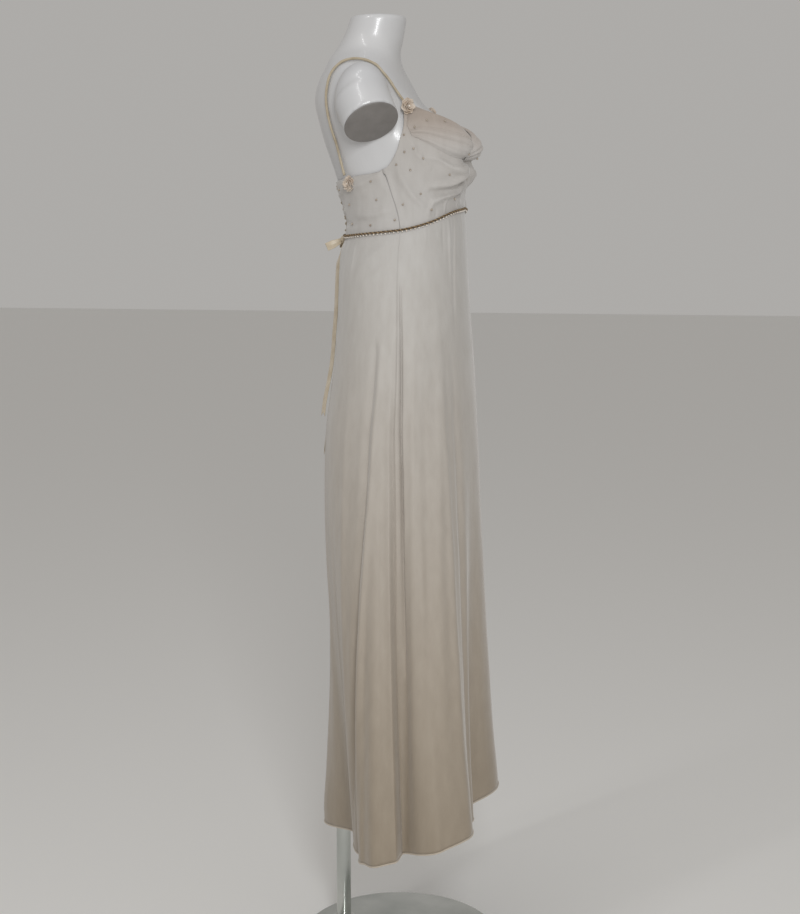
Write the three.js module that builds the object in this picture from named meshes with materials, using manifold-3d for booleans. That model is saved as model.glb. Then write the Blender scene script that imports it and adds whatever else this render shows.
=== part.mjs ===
// Floor-length empire-line evening dress on a limbless dress form with a round stand.
// Millimetres, +Z up, the dress faces -Y and its wearer's right is -X.
// The origin is the centre of the base's underside, on the floor.

import * as THREE from 'three';
import * as BufferGeometryUtils from 'three/addons/utils/BufferGeometryUtils.js';
import Module from 'manifold-3d';

const wasm = await Module();
wasm.setup();

// ---------------------------------------------------------------- driving dimensions

const SEAM_GAP = 0.3;          // between pieces that are sewn or laid together
const SKIRT_WALL = 1.4;
const BODICE_WALL = 1.6;
const RIBBON_WIDTH = 15;
const RIBBON_WALL = 1;
const ROULEAU_RADIUS = 2.3;    // shoulder straps
const BRAID_RADIUS = 2.4;
const LACE_RADIUS = 1.2;
const FLOWER_RADIUS = 13;
const FLOWER_HEIGHT = 9;
const CUP_CENTRE = 71;         // sideways from the centre front
const CUP_SPREAD = 38;

const POLE_RADIUS = 14;
const POLE_Y = 112;
const BASE_RADIUS = 190;
const BASE_HEIGHT = 9;
const FORM_BOTTOM = 1008;
const NECK_TOP = 1755;

const HEM_FRONT = 323;         // height of the hem over the floor at the centre front
const HEM_RISE = 0.275;        // drop of the hem for each millimetre towards the back
const HEM_FRONT_Y = -190;

// Cloth sections, outer face: half width, front and back reach, squareness of the ring's
// front and back halves (2 is an ellipse), and how far the cups stand out of it.
const BODICE_SECTIONS = [
  { z: 1360, half: 136.5, front: -121, back: 98, squareFront: 2.2, squareBack: 2.1, cup: 0 },
  { z: 1390, half: 133, front: -119.5, back: 96, squareFront: 2.2, squareBack: 2.1, cup: 0 },
  { z: 1414, half: 131, front: -117, back: 101, squareFront: 2.25, squareBack: 2.1, cup: 2 },
  { z: 1440, half: 131, front: -112, back: 109, squareFront: 2.3, squareBack: 2.05, cup: 9 },
  { z: 1462, half: 132, front: -109, back: 116, squareFront: 2.4, squareBack: 2, cup: 22 },
  { z: 1480, half: 133, front: -107, back: 122, squareFront: 2.5, squareBack: 2, cup: 32 },
  { z: 1500, half: 134, front: -103, back: 129, squareFront: 2.6, squareBack: 2, cup: 27 },
  { z: 1514, half: 136, front: -99, back: 134, squareFront: 2.7, squareBack: 2, cup: 36 },
  { z: 1530, half: 138, front: -92, back: 139, squareFront: 2.8, squareBack: 2, cup: 42 },
  { z: 1550, half: 140, front: -81, back: 145, squareFront: 3, squareBack: 2, cup: 43 },
  { z: 1573, half: 142, front: -63, back: 151, squareFront: 3.1, squareBack: 2, cup: 39 },
  { z: 1600, half: 144, front: -45, back: 154, squareFront: 3.1, squareBack: 2, cup: 19 },
];

const SKIRT_SECTIONS = [
  { z: 200, half: 291, front: -166, back: 116, squareFront: 2.7, squareBack: 2 },
  { z: 323, half: 282, front: -163, back: 119, squareFront: 2.6, squareBack: 2 },
  { z: 460, half: 266, front: -158, back: 123, squareFront: 2.5, squareBack: 2 },
  { z: 620, half: 246, front: -155, back: 130, squareFront: 2.4, squareBack: 2 },
  { z: 796, half: 223, front: -152, back: 137, squareFront: 2.3, squareBack: 2 },
  { z: 943, half: 203, front: -147, back: 137, squareFront: 2.25, squareBack: 2 },
  { z: 1019, half: 194, front: -143, back: 134, squareFront: 2.2, squareBack: 2 },
  { z: 1099, half: 184, front: -138, back: 123, squareFront: 2.2, squareBack: 2 },
  { z: 1173, half: 173, front: -132, back: 114, squareFront: 2.2, squareBack: 2.05 },
  { z: 1283, half: 153, front: -125, back: 109, squareFront: 2.2, squareBack: 2.1 },
  { z: 1340, half: 141, front: -122, back: 104, squareFront: 2.2, squareBack: 2.1 },
  { z: 1360, half: 136.5, front: -121, back: 98, squareFront: 2.2, squareBack: 2.1 },
  { z: 1390, half: 133, front: -119.5, back: 96, squareFront: 2.2, squareBack: 2.1 },
  { z: 1414, half: 131, front: -117, back: 101, squareFront: 2.25, squareBack: 2.1 },
];

// Form sections, all inside the cloth.
const FORM_SECTIONS = [
  { z: FORM_BOTTOM, half: 160, front: -116, back: 128.5, squareFront: 2.2, squareBack: 2, cup: 0 },
  { z: 1030, half: 170, front: -126, back: 126, squareFront: 2.2, squareBack: 2, cup: 0 },
  { z: 1099, half: 174, front: -129, back: 116, squareFront: 2.2, squareBack: 2, cup: 0 },
  { z: 1173, half: 165, front: -126, back: 108, squareFront: 2.2, squareBack: 2.05, cup: 0 },
  { z: 1260, half: 144, front: -113, back: 100, squareFront: 2.2, squareBack: 2.1, cup: 0 },
  { z: 1340, half: 131, front: -110, back: 92, squareFront: 2.2, squareBack: 2.1, cup: 0 },
  { z: 1390, half: 129, front: -113, back: 92, squareFront: 2.2, squareBack: 2.1, cup: 0 },
  { z: 1440, half: 127.5, front: -107, back: 105, squareFront: 2.3, squareBack: 2.05, cup: 6 },
  { z: 1480, half: 129.5, front: -102, back: 118, squareFront: 2.5, squareBack: 2, cup: 22 },
  { z: 1500, half: 130.5, front: -98, back: 125, squareFront: 2.6, squareBack: 2, cup: 24 },
  { z: 1530, half: 134, front: -86, back: 135.5, squareFront: 2.8, squareBack: 2, cup: 28 },
  { z: 1573, half: 137, front: -56, back: 147, squareFront: 3, squareBack: 2, cup: 20 },
  { z: 1600, half: 138, front: -36, back: 153, squareFront: 3, squareBack: 1.9, cup: 4 },
  { z: 1622, half: 142, front: -24, back: 152, squareFront: 2.9, squareBack: 1.75, cup: 0 },
  { z: 1640, half: 141, front: -14, back: 146, squareFront: 2.9, squareBack: 1.7, cup: 0 },
  { z: 1655, half: 135, front: -6, back: 138, squareFront: 2.7, squareBack: 1.7, cup: 0 },
  { z: 1666, half: 122, front: -2, back: 131, squareFront: 2.4, squareBack: 1.8, cup: 0 },
  { z: 1677, half: 97, front: 0, back: 127, squareFront: 2.1, squareBack: 2, cup: 0 },
  { z: 1692, half: 70, front: 0, back: 118, squareFront: 2, squareBack: 2, cup: 0 },
  { z: 1712, half: 56, front: -5, back: 106, squareFront: 2, squareBack: 2, cup: 0 },
  { z: 1735, half: 53, front: -9, back: 95, squareFront: 2, squareBack: 2, cup: 0 },
  { z: NECK_TOP - 4, half: 52, front: -12, back: 90, squareFront: 2, squareBack: 2, cup: 0 },
];

// Empire seam and top edge of the bodice: height by ring angle, 0 at the centre front, 90 at the side,
// 180 at the centre back, the same on both sides.
const EMPIRE_LINE = [
  { angle: 0, z: 1414 },
  { angle: 30, z: 1407 },
  { angle: 60, z: 1388 },
  { angle: 85, z: 1376 },
  { angle: 120, z: 1369 },
  { angle: 150, z: 1365 },
  { angle: 180, z: 1366 },
];

const TOP_EDGE = [
  { angle: 0, z: 1511 },
  { angle: 10, z: 1522 },
  { angle: 22, z: 1553 },
  { angle: 31, z: 1577 },
  { angle: 41, z: 1589 },
  { angle: 51, z: 1592 },
  { angle: 61, z: 1568 },
  { angle: 72, z: 1540 },
  { angle: 82, z: 1504 },
  { angle: 90, z: 1481 },
  { angle: 100, z: 1474 },
  { angle: 112, z: 1471 },
  { angle: 128, z: 1467 },
  { angle: 150, z: 1462 },
  { angle: 180, z: 1457 },
];

// Skirt folds from the centre front round the wearer's right side (positive) and left side (negative).
// top and hem are the ring angles where a crest or valley starts and ends, out is how far it stands
// out of the section at the hem, from is the height where it starts, and steps is the number of
// columns up to the next row.
const FRONT_FOLDS = [
  { top: -85, hem: -82, out: -18, from: 1250, steps: 4 },
  { top: -68, hem: -62, out: 33, from: 1200, steps: 3 },
  { top: -52, hem: -46, out: 22, from: 1150, steps: 3 },
  { top: -33, hem: -29, out: -6, from: 1100, steps: 3 },
  { top: -16, hem: -15, out: -18, from: 1120, steps: 4 },
  { top: 0, hem: 0, out: 27, from: 900, steps: 4 },
  { top: 15, hem: 14, out: -19, from: 1120, steps: 3 },
  { top: 33, hem: 30, out: 16, from: 1100, steps: 3 },
  { top: 54, hem: 48, out: 48, from: 1150, steps: 3 },
  { top: 70, hem: 63, out: 38, from: 1200, steps: 4 },
  { top: 85, hem: 82, out: -20, from: 1250, steps: 0 },
];

const BACK_FOLDS = [
  { top: 85, hem: 82, out: -20, from: 1250, steps: 4 },
  { top: 88.5, hem: 85.5, out: 13, from: 1250, steps: 3 },
  { top: 95, hem: 94, out: 16, from: 1235, steps: 3 },
  { top: 99, hem: 108, out: 0, from: 1235, steps: 3 },
  { top: 107, hem: 126, out: -24, from: 1230, steps: 3 },
  { top: 140, hem: 157, out: -34, from: 1000, steps: 4 },
  { top: 180, hem: 181, out: 28, from: 700, steps: 4 },
  { top: 218, hem: 205, out: -30, from: 1020, steps: 3 },
  { top: 252, hem: 235, out: -18, from: 1210, steps: 3 },
  { top: 261, hem: 251, out: 2, from: 1235, steps: 3 },
  { top: 266, hem: 265, out: 17, from: 1235, steps: 3 },
  { top: 271.5, hem: 274.5, out: 11, from: 1250, steps: 4 },
  { top: 275, hem: 278, out: -18, from: 1250, steps: 0 },
];

const FOLD_POWER = 1.25;       // how a fold grows from its start to the hem
const FOLD_TOP = 1376;

// ---------------------------------------------------------------- tables and rings

const rad = THREE.MathUtils.degToRad;
const lerp = THREE.MathUtils.lerp;

// Smooth value of one column of a table between its rows (cubic, with the slopes of its neighbours).
function along(table, key, at, column) {
  const last = table.length - 1;
  if (at <= table[0][key]) return table[0][column];
  if (at >= table[last][key]) return table[last][column];
  const row = table.findIndex((entry) => entry[key] > at) - 1;
  const slope = (i) => {
    const below = table[Math.max(i - 1, 0)];
    const above = table[Math.min(i + 1, last)];
    return (above[column] - below[column]) / (above[key] - below[key]);
  };
  const low = table[row];
  const high = table[row + 1];
  const span = high[key] - low[key];
  const t = (at - low[key]) / span;
  const t2 = t * t;
  const t3 = t2 * t;
  return (2 * t3 - 3 * t2 + 1) * low[column] + (t3 - 2 * t2 + t) * span * slope(row)
    + (3 * t2 - 2 * t3) * high[column] + (t3 - t2) * span * slope(row + 1);
}

function lineHeight(table, angle) {
  const folded = Math.abs(angle) % 360;
  return along(table, 'angle', folded > 180 ? 360 - folded : folded, 'z');
}

// Point of a section ring at an angle from the centre front, positive towards the wearer's right.
function ringPoint(sections, angle, z) {
  const column = (name) => along(sections, 'z', z, name);
  const front = column('front');
  const back = column('back');
  const middle = (front + back) / 2;
  const s = Math.sin(rad(angle));
  const c = Math.cos(rad(angle));
  const power = 2 / column(c > 0 ? 'squareFront' : 'squareBack');
  const x = -column('half') * Math.sign(s) * Math.abs(s) ** power;
  const y = middle - ((back - front) / 2) * Math.sign(c) * Math.abs(c) ** power;
  return new THREE.Vector3(x, y, z);
}

// Ring point with the two cups standing out of the front.
function bodyPoint(sections, angle, z) {
  const point = ringPoint(sections, angle, z);
  if (Math.cos(rad(angle)) > 0) {
    const aside = (Math.abs(point.x) - CUP_CENTRE) / CUP_SPREAD;
    point.y -= along(sections, 'z', z, 'cup') * Math.exp(-aside * aside);
  }
  return point;
}

function hemHeight(y) {
  return HEM_FRONT - HEM_RISE * (y - HEM_FRONT_Y);
}

// Ring angle of a fold row at a height.
function foldAngle(row, z) {
  const drop = THREE.MathUtils.clamp((FOLD_TOP - z) / (FOLD_TOP - HEM_FRONT), 0, 1);
  return lerp(row.top, row.hem, drop);
}

// How far the folds of one table push the skirt out at a ring angle and height.
function foldOut(folds, angle, z) {
  const place = (row) => foldAngle(row, z);
  const depth = (row) => {
    const grown = THREE.MathUtils.clamp((row.from - z) / (row.from - HEM_FRONT), 0, 1.15);
    return row.out * grown ** FOLD_POWER;
  };
  let i = 0;
  while (i < folds.length - 2 && angle > place(folds[i + 1])) i += 1;
  const t = THREE.MathUtils.clamp(
    (angle - place(folds[i])) / (place(folds[i + 1]) - place(folds[i])), 0, 1);
  return lerp(depth(folds[i]), depth(folds[i + 1]), (1 - Math.cos(Math.PI * t)) / 2);
}

// Level unit vector that points out of a section ring.
function outward(sections, angle, z) {
  const step = 0.5;
  const ahead = ringPoint(sections, angle + step, z);
  const behind = ringPoint(sections, angle - step, z);
  return new THREE.Vector3(behind.y - ahead.y, ahead.x - behind.x, 0).normalize();
}

function skirtPoint(folds, angle, z) {
  return ringPoint(SKIRT_SECTIONS, angle, z)
    .addScaledVector(outward(SKIRT_SECTIONS, angle, z), foldOut(folds, angle, z));
}

// ---------------------------------------------------------------- closed meshes

function geometryFrom(points, faces) {
  const geometry = new THREE.BufferGeometry();
  geometry.setAttribute('position', new THREE.Float32BufferAttribute(
    points.flatMap((p) => [p.x, p.y, p.z]), 3));
  geometry.setIndex(faces);
  return geometry;
}

function quad(faces, a, b, c, d) {
  faces.push(a, b, c, a, c, d);
}

// Closed wall between an outer grid of points and the same grid moved inwards.
// grid[row][column]: columns run towards the wearer's right seen from outside, rows run upwards.
function wall(outer, inner) {
  const rows = outer.length;
  const columns = outer[0].length;
  const points = [...outer.flat(), ...inner.flat()];
  const faces = [];
  const at = (layer, r, c) => layer * rows * columns + r * columns + c;
  for (let r = 0; r < rows - 1; r += 1) {
    for (let c = 0; c < columns - 1; c += 1) {
      quad(faces, at(0, r, c), at(0, r + 1, c), at(0, r + 1, c + 1), at(0, r, c + 1));
      quad(faces, at(1, r, c), at(1, r, c + 1), at(1, r + 1, c + 1), at(1, r + 1, c));
    }
  }
  for (let c = 0; c < columns - 1; c += 1) {
    quad(faces, at(0, 0, c), at(0, 0, c + 1), at(1, 0, c + 1), at(1, 0, c));
    quad(faces, at(0, rows - 1, c), at(1, rows - 1, c), at(1, rows - 1, c + 1), at(0, rows - 1, c + 1));
  }
  for (let r = 0; r < rows - 1; r += 1) {
    quad(faces, at(0, r, 0), at(1, r, 0), at(1, r + 1, 0), at(0, r + 1, 0));
    quad(faces, at(0, r, columns - 1), at(0, r + 1, columns - 1), at(1, r + 1, columns - 1),
      at(1, r, columns - 1));
  }
  return geometryFrom(points, faces);
}

// Wall made from a surface function of (column value u, row value v), with its thickness inwards and
// its outer face moved out by lift.
function wallOn(surface, columnValues, rowValues, thickness, lift = 0) {
  const step = 0.004;
  const normalAt = (u, v) => {
    const across = surface(u + step, v).sub(surface(u - step, v));
    const up = surface(u, v + step).sub(surface(u, v - step));
    return up.cross(across).normalize();
  };
  const layer = (offset) => rowValues.map((v) => columnValues.map(
    (u) => surface(u, v).addScaledVector(normalAt(u, v), offset)));
  return wall(layer(lift), layer(lift - thickness));
}

// Closed solid through rings of points, each ring running the same way round, from the bottom up.
function loft(rings) {
  const count = rings[0].length;
  const centre = (ring) => ring.reduce((sum, p) => sum.add(p), new THREE.Vector3())
    .divideScalar(count);
  const points = [...rings.flat(), centre(rings[0]), centre(rings.at(-1))];
  const bottom = rings.length * count;
  const faces = [];
  for (let r = 0; r < rings.length - 1; r += 1) {
    for (let i = 0; i < count; i += 1) {
      const next = (i + 1) % count;
      quad(faces, r * count + i, r * count + next, (r + 1) * count + next, (r + 1) * count + i);
    }
  }
  for (let i = 0; i < count; i += 1) {
    const next = (i + 1) % count;
    const top = (rings.length - 1) * count;
    faces.push(next, i, bottom, top + i, top + next, bottom + 1);
  }
  return geometryFrom(points, faces);
}

// Round tube along a smooth curve through points.
function tube(points, radius, sides, steps) {
  const section = new THREE.Shape();
  section.absarc(0, 0, radius, 0, 2 * Math.PI);
  const extrusion = new THREE.ExtrudeGeometry(section, {
    extrudePath: new THREE.CatmullRomCurve3(points, false, 'centripetal'),
    steps,
    curveSegments: sides / 2,
    bevelEnabled: false,
  });
  return extrusion;
}

function positionsOnly(geometry) {
  const bare = geometry.clone();
  for (const name of ['normal', 'uv']) bare.deleteAttribute(name);
  return BufferGeometryUtils.mergeVertices(bare, 1e-4);
}

function solidOf(geometry) {
  const bare = positionsOnly(geometry);
  return new wasm.Manifold(new wasm.Mesh({
    numProp: 3,
    vertProperties: new Float32Array(bare.attributes.position.array),
    triVerts: new Uint32Array(bare.index.array),
  }));
}

function geometryOf(solid) {
  const mesh = solid.getMesh();
  const geometry = new THREE.BufferGeometry();
  geometry.setAttribute('position', new THREE.BufferAttribute(mesh.vertProperties, 3));
  geometry.setIndex(new THREE.BufferAttribute(mesh.triVerts, 1));
  return geometry;
}

// Values from low to high in a number of equal steps.
function spread(low, high, steps) {
  return Array.from({ length: steps + 1 }, (_, i) => lerp(low, high, i / steps));
}

// ---------------------------------------------------------------- materials

function finish(hex, roughness, metalness = 0) {
  return new THREE.MeshStandardMaterial({ color: hex, roughness, metalness });
}

const CHIFFON = finish('#dcd0c2', 0.75);
const BODICE_CLOTH = finish('#d9cfc4', 0.7);
const RIBBON = finish('#d2c2a8', 0.6);
const BRAID = finish('#8a7350', 0.5);
const FORM_GLOSS = finish('#dedcde', 0.3);
const PLATE = finish('#a29d98', 0.5);
const STEEL = finish('#9aa29a', 0.25, 1);

const dress = new THREE.Group();
const form = new THREE.Group();
const stand = new THREE.Group();

function add(group, name, geometry, material) {
  const mesh = new THREE.Mesh(geometry, material);
  mesh.name = name;
  group.add(mesh);
  return mesh;
}

const SIDES = [
  { name: 'right', sign: 1 },
  { name: 'left', sign: -1 },
];

// ---------------------------------------------------------------- skirt

const SKIRT_ROWS = 14;
const SEAM_ANGLE = 0.06;       // half of the side seam's gap, as a ring angle

// Columns of a panel: u counts fold rows, so the columns are close together where the folds are.
function foldColumns(folds) {
  const values = folds.flatMap((row, i) => Array.from({ length: row.steps },
    (_, k) => i + k / row.steps));
  return [...values, folds.length - 1];
}

function skirtPanel(folds) {
  const last = folds.length - 1;
  const angleAt = (u, z) => {
    const i = THREE.MathUtils.clamp(Math.floor(u), 0, last - 1);
    return lerp(foldAngle(folds[i], z), foldAngle(folds[i + 1], z), u - i);
  };
  const surface = (u, v) => {
    const top = lineHeight(EMPIRE_LINE, angleAt(u, FOLD_TOP)) - SEAM_GAP;
    const hem = hemHeight(skirtPoint(folds, angleAt(u, HEM_FRONT), HEM_FRONT).y);
    const z = lerp(hem, top, v);
    return skirtPoint(folds, angleAt(u, z), z);
  };
  const columns = foldColumns(folds);
  const firstWidth = foldAngle(folds[1], HEM_FRONT) - foldAngle(folds[0], HEM_FRONT);
  const lastWidth = foldAngle(folds[last], HEM_FRONT) - foldAngle(folds[last - 1], HEM_FRONT);
  columns[0] += SEAM_ANGLE / firstWidth;
  columns[columns.length - 1] -= SEAM_ANGLE / lastWidth;
  return wallOn(surface, columns, spread(0, 1, SKIRT_ROWS), SKIRT_WALL);
}

add(dress, 'skirt_front', skirtPanel(FRONT_FOLDS), CHIFFON);
add(dress, 'skirt_back', skirtPanel(BACK_FOLDS), CHIFFON);

// ---------------------------------------------------------------- bodice

const SIDE_SEAM_TOP = 90.5;     // ring angle of the side seam at the top edge and at the empire seam
const SIDE_SEAM_FOOT = 85;
const LACING_TOP = 174;        // ring angle of the centre-back edges
const LACING_FOOT = 176;
const BODICE_ROWS = 13;

// Surface of a bodice panel: u runs from 0 to 1 between two edges, each given by its ring angle at
// the empire seam and at the top edge; v runs from the seam up to the top edge.
function bodiceSurface(from, to) {
  return (u, v) => {
    const angle = lerp(lerp(from.foot, to.foot, u), lerp(from.top, to.top, u), v);
    const foot = lineHeight(EMPIRE_LINE, lerp(from.foot, to.foot, u)) + SEAM_GAP / 2;
    const top = lineHeight(TOP_EDGE, lerp(from.top, to.top, u));
    return bodyPoint(BODICE_SECTIONS, angle, lerp(foot, top, v));
  };
}

const seamEdge = (sign, shift) => ({
  foot: sign * SIDE_SEAM_FOOT + shift,
  top: sign * SIDE_SEAM_TOP + shift,
});
const lacingEdge = (sign) => ({
  foot: sign > 0 ? LACING_FOOT : 360 - LACING_FOOT,
  top: sign > 0 ? LACING_TOP : 360 - LACING_TOP,
});
const bodiceFront = bodiceSurface(seamEdge(-1, SEAM_ANGLE), seamEdge(1, -SEAM_ANGLE));
const bodiceBack = {
  right: bodiceSurface(seamEdge(1, SEAM_ANGLE), lacingEdge(1)),
  left: bodiceSurface(lacingEdge(-1), { foot: 360 - SIDE_SEAM_FOOT - SEAM_ANGLE,
    top: 360 - SIDE_SEAM_TOP - SEAM_ANGLE }),
};

add(dress, 'bodice_front',
  wallOn(bodiceFront, spread(0, 1, 30), spread(0, 1, BODICE_ROWS), BODICE_WALL), BODICE_CLOTH);
for (const { name } of SIDES) {
  add(dress, `bodice_back_${name}`,
    wallOn(bodiceBack[name], spread(0, 1, 9), spread(0, 1, BODICE_ROWS), BODICE_WALL), BODICE_CLOTH);
}

// Bust drape: a chiffon swag on the upper part of each cup. Its upper edge follows the neckline and
// its lower edge runs from the armhole down to the gather at the centre front. Both edges are
// given by ring angle and height. Its edges stand off the bodice by stand, least at the armhole where
// it is sewn down, and out is how much further it swells between them.
const DRAPE_ROWS = [
  { t: 0, angle: 0.8, low: 1499, high: 1517, out: 16, stand: 1.6 },
  { t: 0.14, angle: 9, low: 1499, high: 1526, out: 12.5, stand: 1.6 },
  { t: 0.28, angle: 18, low: 1500, high: 1547, out: 11, stand: 1.8 },
  { t: 0.42, angle: 27, low: 1500, high: 1568, out: 9, stand: 2 },
  { t: 0.56, angle: 35, low: 1503, high: 1579, out: 7, stand: 2 },
  { t: 0.7, angle: 43, low: 1511, high: 1583, out: 5, stand: 1.5 },
  { t: 0.84, angle: 52, low: 1524, high: 1576, out: 3, stand: 1.2 },
  { t: 1, angle: 64, low: 1538, high: 1554, out: 1.5, stand: 0.45 },
];
const DRAPE_WALL = 1.2;

function drape(sign) {
  const surface = (u, v) => {
    const column = (name) => along(DRAPE_ROWS, 't', sign > 0 ? u : 1 - u, name);
    const angle = sign * column('angle');
    const z = lerp(column('low'), column('high'), v);
    const point = bodyPoint(BODICE_SECTIONS, angle, z);
    point.addScaledVector(outward(BODICE_SECTIONS, angle, z), DRAPE_WALL + column('stand'));
    point.y -= column('out') * Math.sin(Math.PI * lerp(0.04, 0.985, v)) ** 0.8;
    return point;
  };
  return wallOn(surface, spread(0.004, 0.996, 14), spread(0, 1, 7), DRAPE_WALL);
}

for (const { name, sign } of SIDES) {
  add(dress, `bust_drape_${name}`, drape(sign), CHIFFON);
}

// ---------------------------------------------------------------- braid

// Points along the empire seam, moved out so that a cord of the given radius lies on the cloth.
function empirePoints(from, to, steps, radius) {
  return spread(from, to, steps).map((angle) => {
    const z = lineHeight(EMPIRE_LINE, angle);
    const point = bodyPoint(BODICE_SECTIONS, angle, z);
    const out = outward(BODICE_SECTIONS, angle, z);
    return point.addScaledVector(out, radius + SEAM_GAP);
  });
}

add(dress, 'empire_braid',
  tube(empirePoints(-LACING_FOOT, LACING_FOOT, 44, BRAID_RADIUS), BRAID_RADIUS, 6, 60), BRAID);

// ---------------------------------------------------------------- form

// Right arm stump: a rounded shoulder and a short upper arm, cut square to its axis. The left one
// is its mirror image.
const ARM = {
  shoulder: new THREE.Vector3(-147, 40, 1596),
  shoulderRadii: new THREE.Vector3(50, 48, 66),
  radius: 49,
  plate: new THREE.Vector3(-180, 18.5, 1559),
  facing: new THREE.Vector3(-0.5, -0.405, -0.765).normalize(),
  plateThickness: 3,
};
const FORM_SIDES = 34;

function mirrored(vector, sign) {
  return new THREE.Vector3(sign * vector.x, vector.y, vector.z);
}

// Turns a geometry's own +Z to the arm plate's facing and moves it there.
function placedOnPlate(geometry, sign) {
  const up = new THREE.Vector3(0, 0, 1);
  geometry.applyQuaternion(new THREE.Quaternion().setFromUnitVectors(up, mirrored(ARM.facing, sign)));
  return geometry.translate(...mirrored(ARM.plate, sign));
}

function armStump(sign) {
  const shoulder = new THREE.SphereGeometry(1, 22, 12);
  shoulder.scale(...ARM.shoulderRadii);
  shoulder.translate(...mirrored(ARM.shoulder, sign));
  const length = ARM.shoulder.distanceTo(ARM.plate);
  const upperArm = new THREE.CylinderGeometry(ARM.radius, ARM.radius, length, 24);
  upperArm.rotateX(Math.PI / 2).translate(0, 0, -length / 2);
  const stump = solidOf(shoulder).add(solidOf(placedOnPlate(upperArm, sign)));
  return stump.subtract(armCutter(sign));
}

// Block on the outer side of the arm plate's plane.
function armCutter(sign) {
  const size = 240;
  return solidOf(placedOnPlate(new THREE.BoxGeometry(size, size, size).translate(0, 0, size / 2), sign));
}

function formTorso() {
  const rings = FORM_SECTIONS.map(({ z }) => Array.from({ length: FORM_SIDES },
    (_, i) => bodyPoint(FORM_SECTIONS, (i * 360) / FORM_SIDES, z)));
  const neck = rings.at(-1);
  const middle = (neck[0].y + neck[FORM_SIDES / 2].y) / 2;
  rings.push(neck.map((p) => new THREE.Vector3(p.x * 0.9, lerp(middle, p.y, 0.9), NECK_TOP)));
  let torso = solidOf(loft(rings.map((ring) => ring.toReversed())));
  for (const { sign } of SIDES) torso = torso.add(armStump(sign));
  return geometryOf(torso);
}

add(form, 'form_torso', formTorso(), FORM_GLOSS);

for (const { name, sign } of SIDES) {
  const disc = new THREE.CylinderGeometry(ARM.radius - 1, ARM.radius - 1, ARM.plateThickness, 24);
  disc.rotateX(Math.PI / 2).translate(0, 0, ARM.plateThickness / 2 + SEAM_GAP);
  add(form, `arm_plate_${name}`, placedOnPlate(disc, sign), PLATE);
}

// ---------------------------------------------------------------- straps and flowers

// Middle lines of the straps, from the front flower over the shoulder to the back flower.
const STRAP_ROUTE = [
  [123.2, -33, 1591],
  [118.5, -22, 1604.5],
  [115.5, -10.5, 1620],
  [116.5, -2.5, 1632.5],
  [119, 6, 1643],
  [121, 22, 1660],
  [122, 52, 1670],
  [123.5, 79.5, 1665.5],
  [122.5, 99.5, 1647.5],
  [120.5, 108, 1623.5],
  [115.5, 111, 1598],
  [110.5, 105.5, 1560],
  [106, 95, 1525],
  [102.5, 84.5, 1482],
  [103, 81.5, 1471],
];

for (const { name, sign } of SIDES) {
  const route = STRAP_ROUTE.map(([x, y, z]) => new THREE.Vector3(-sign * x, y, z));
  add(dress, `strap_${name}`, tube(route, ROULEAU_RADIUS, 8, 28), RIBBON);
}

const FLOWERS = [
  { at: 'front', angle: 51, z: 1588, lift: 6.1 },
  { at: 'back', angle: 128, z: 1456, lift: 1.5 },
];
const PETALS = 6;

// Ruffled ribbon rosette as one lobed solid, its back at the origin and facing +Z.
function rosette() {
  const rings = [
    { radius: 0.55, height: 0, ruffle: 0 },
    { radius: 0.97, height: 0.3, ruffle: 0.14 },
    { radius: 0.9, height: 0.62, ruffle: 0.12 },
    { radius: 0.52, height: 1, ruffle: 0.2 },
    { radius: 0.22, height: 0.72, ruffle: 0 },
  ];
  const sides = 3 * PETALS;
  return loft(rings.map(({ radius, height, ruffle }) => Array.from({ length: sides }, (_, i) => {
    const turn = (2 * Math.PI * i) / sides;
    const r = FLOWER_RADIUS * radius * (1 + ruffle * Math.cos(PETALS * turn));
    return new THREE.Vector3(r * Math.cos(turn), r * Math.sin(turn), height * FLOWER_HEIGHT);
  })));
}

for (const { name, sign } of SIDES) {
  for (const flower of FLOWERS) {
    const out = outward(BODICE_SECTIONS, sign * flower.angle, flower.z);
    const mesh = add(dress, `flower_${flower.at}_${name}`, rosette(), RIBBON);
    mesh.position.copy(bodyPoint(BODICE_SECTIONS, sign * flower.angle, flower.z));
    mesh.position.addScaledVector(out, flower.lift);
    mesh.quaternion.setFromUnitVectors(new THREE.Vector3(0, 0, 1), out);
  }
}

// ---------------------------------------------------------------- centre-back closing

const LOOPS = 6;
const TAPE_WIDTH = 3.2;        // ring degrees covered by a loop tape
const LOOP_REACH = 1.3;        // ring degrees that a loop reaches into the opening

for (const { name, sign } of SIDES) {
  const edge = lacingEdge(sign);
  const surface = (u, v) => {
    const angle = lerp(edge.foot, edge.top, v);
    const reach = LOOP_REACH * (0.5 - 0.5 * Math.cos(2 * Math.PI * LOOPS * v));
    const inner = angle + sign * reach;
    const outer = angle - sign * TAPE_WIDTH;
    const z = lerp(lineHeight(EMPIRE_LINE, 180) + 5, lineHeight(TOP_EDGE, 180) - 2, v);
    const [low, high] = sign > 0 ? [outer, inner] : [inner, outer];
    return bodyPoint(BODICE_SECTIONS, lerp(low, high, u), z);
  };
  add(dress, `loop_tape_${name}`,
    wallOn(surface, [0.02, 0.98], spread(0.01, 0.99, 5 * LOOPS), RIBBON_WALL, SEAM_GAP + RIBBON_WALL),
    RIBBON);
}

function lacePoints() {
  const z = (i) => lerp(lineHeight(TOP_EDGE, 180) - 8, lineHeight(EMPIRE_LINE, 180) + 8, i / (2 * LOOPS));
  return Array.from({ length: 2 * LOOPS + 1 }, (_, i) => {
    const point = bodyPoint(BODICE_SECTIONS, 180 + (i % 2 ? 1 : -1) * TAPE_WIDTH * 1.6, z(i));
    point.y += SEAM_GAP + RIBBON_WALL + SEAM_GAP + LACE_RADIUS + 0.5;
    return point;
  });
}

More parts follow.
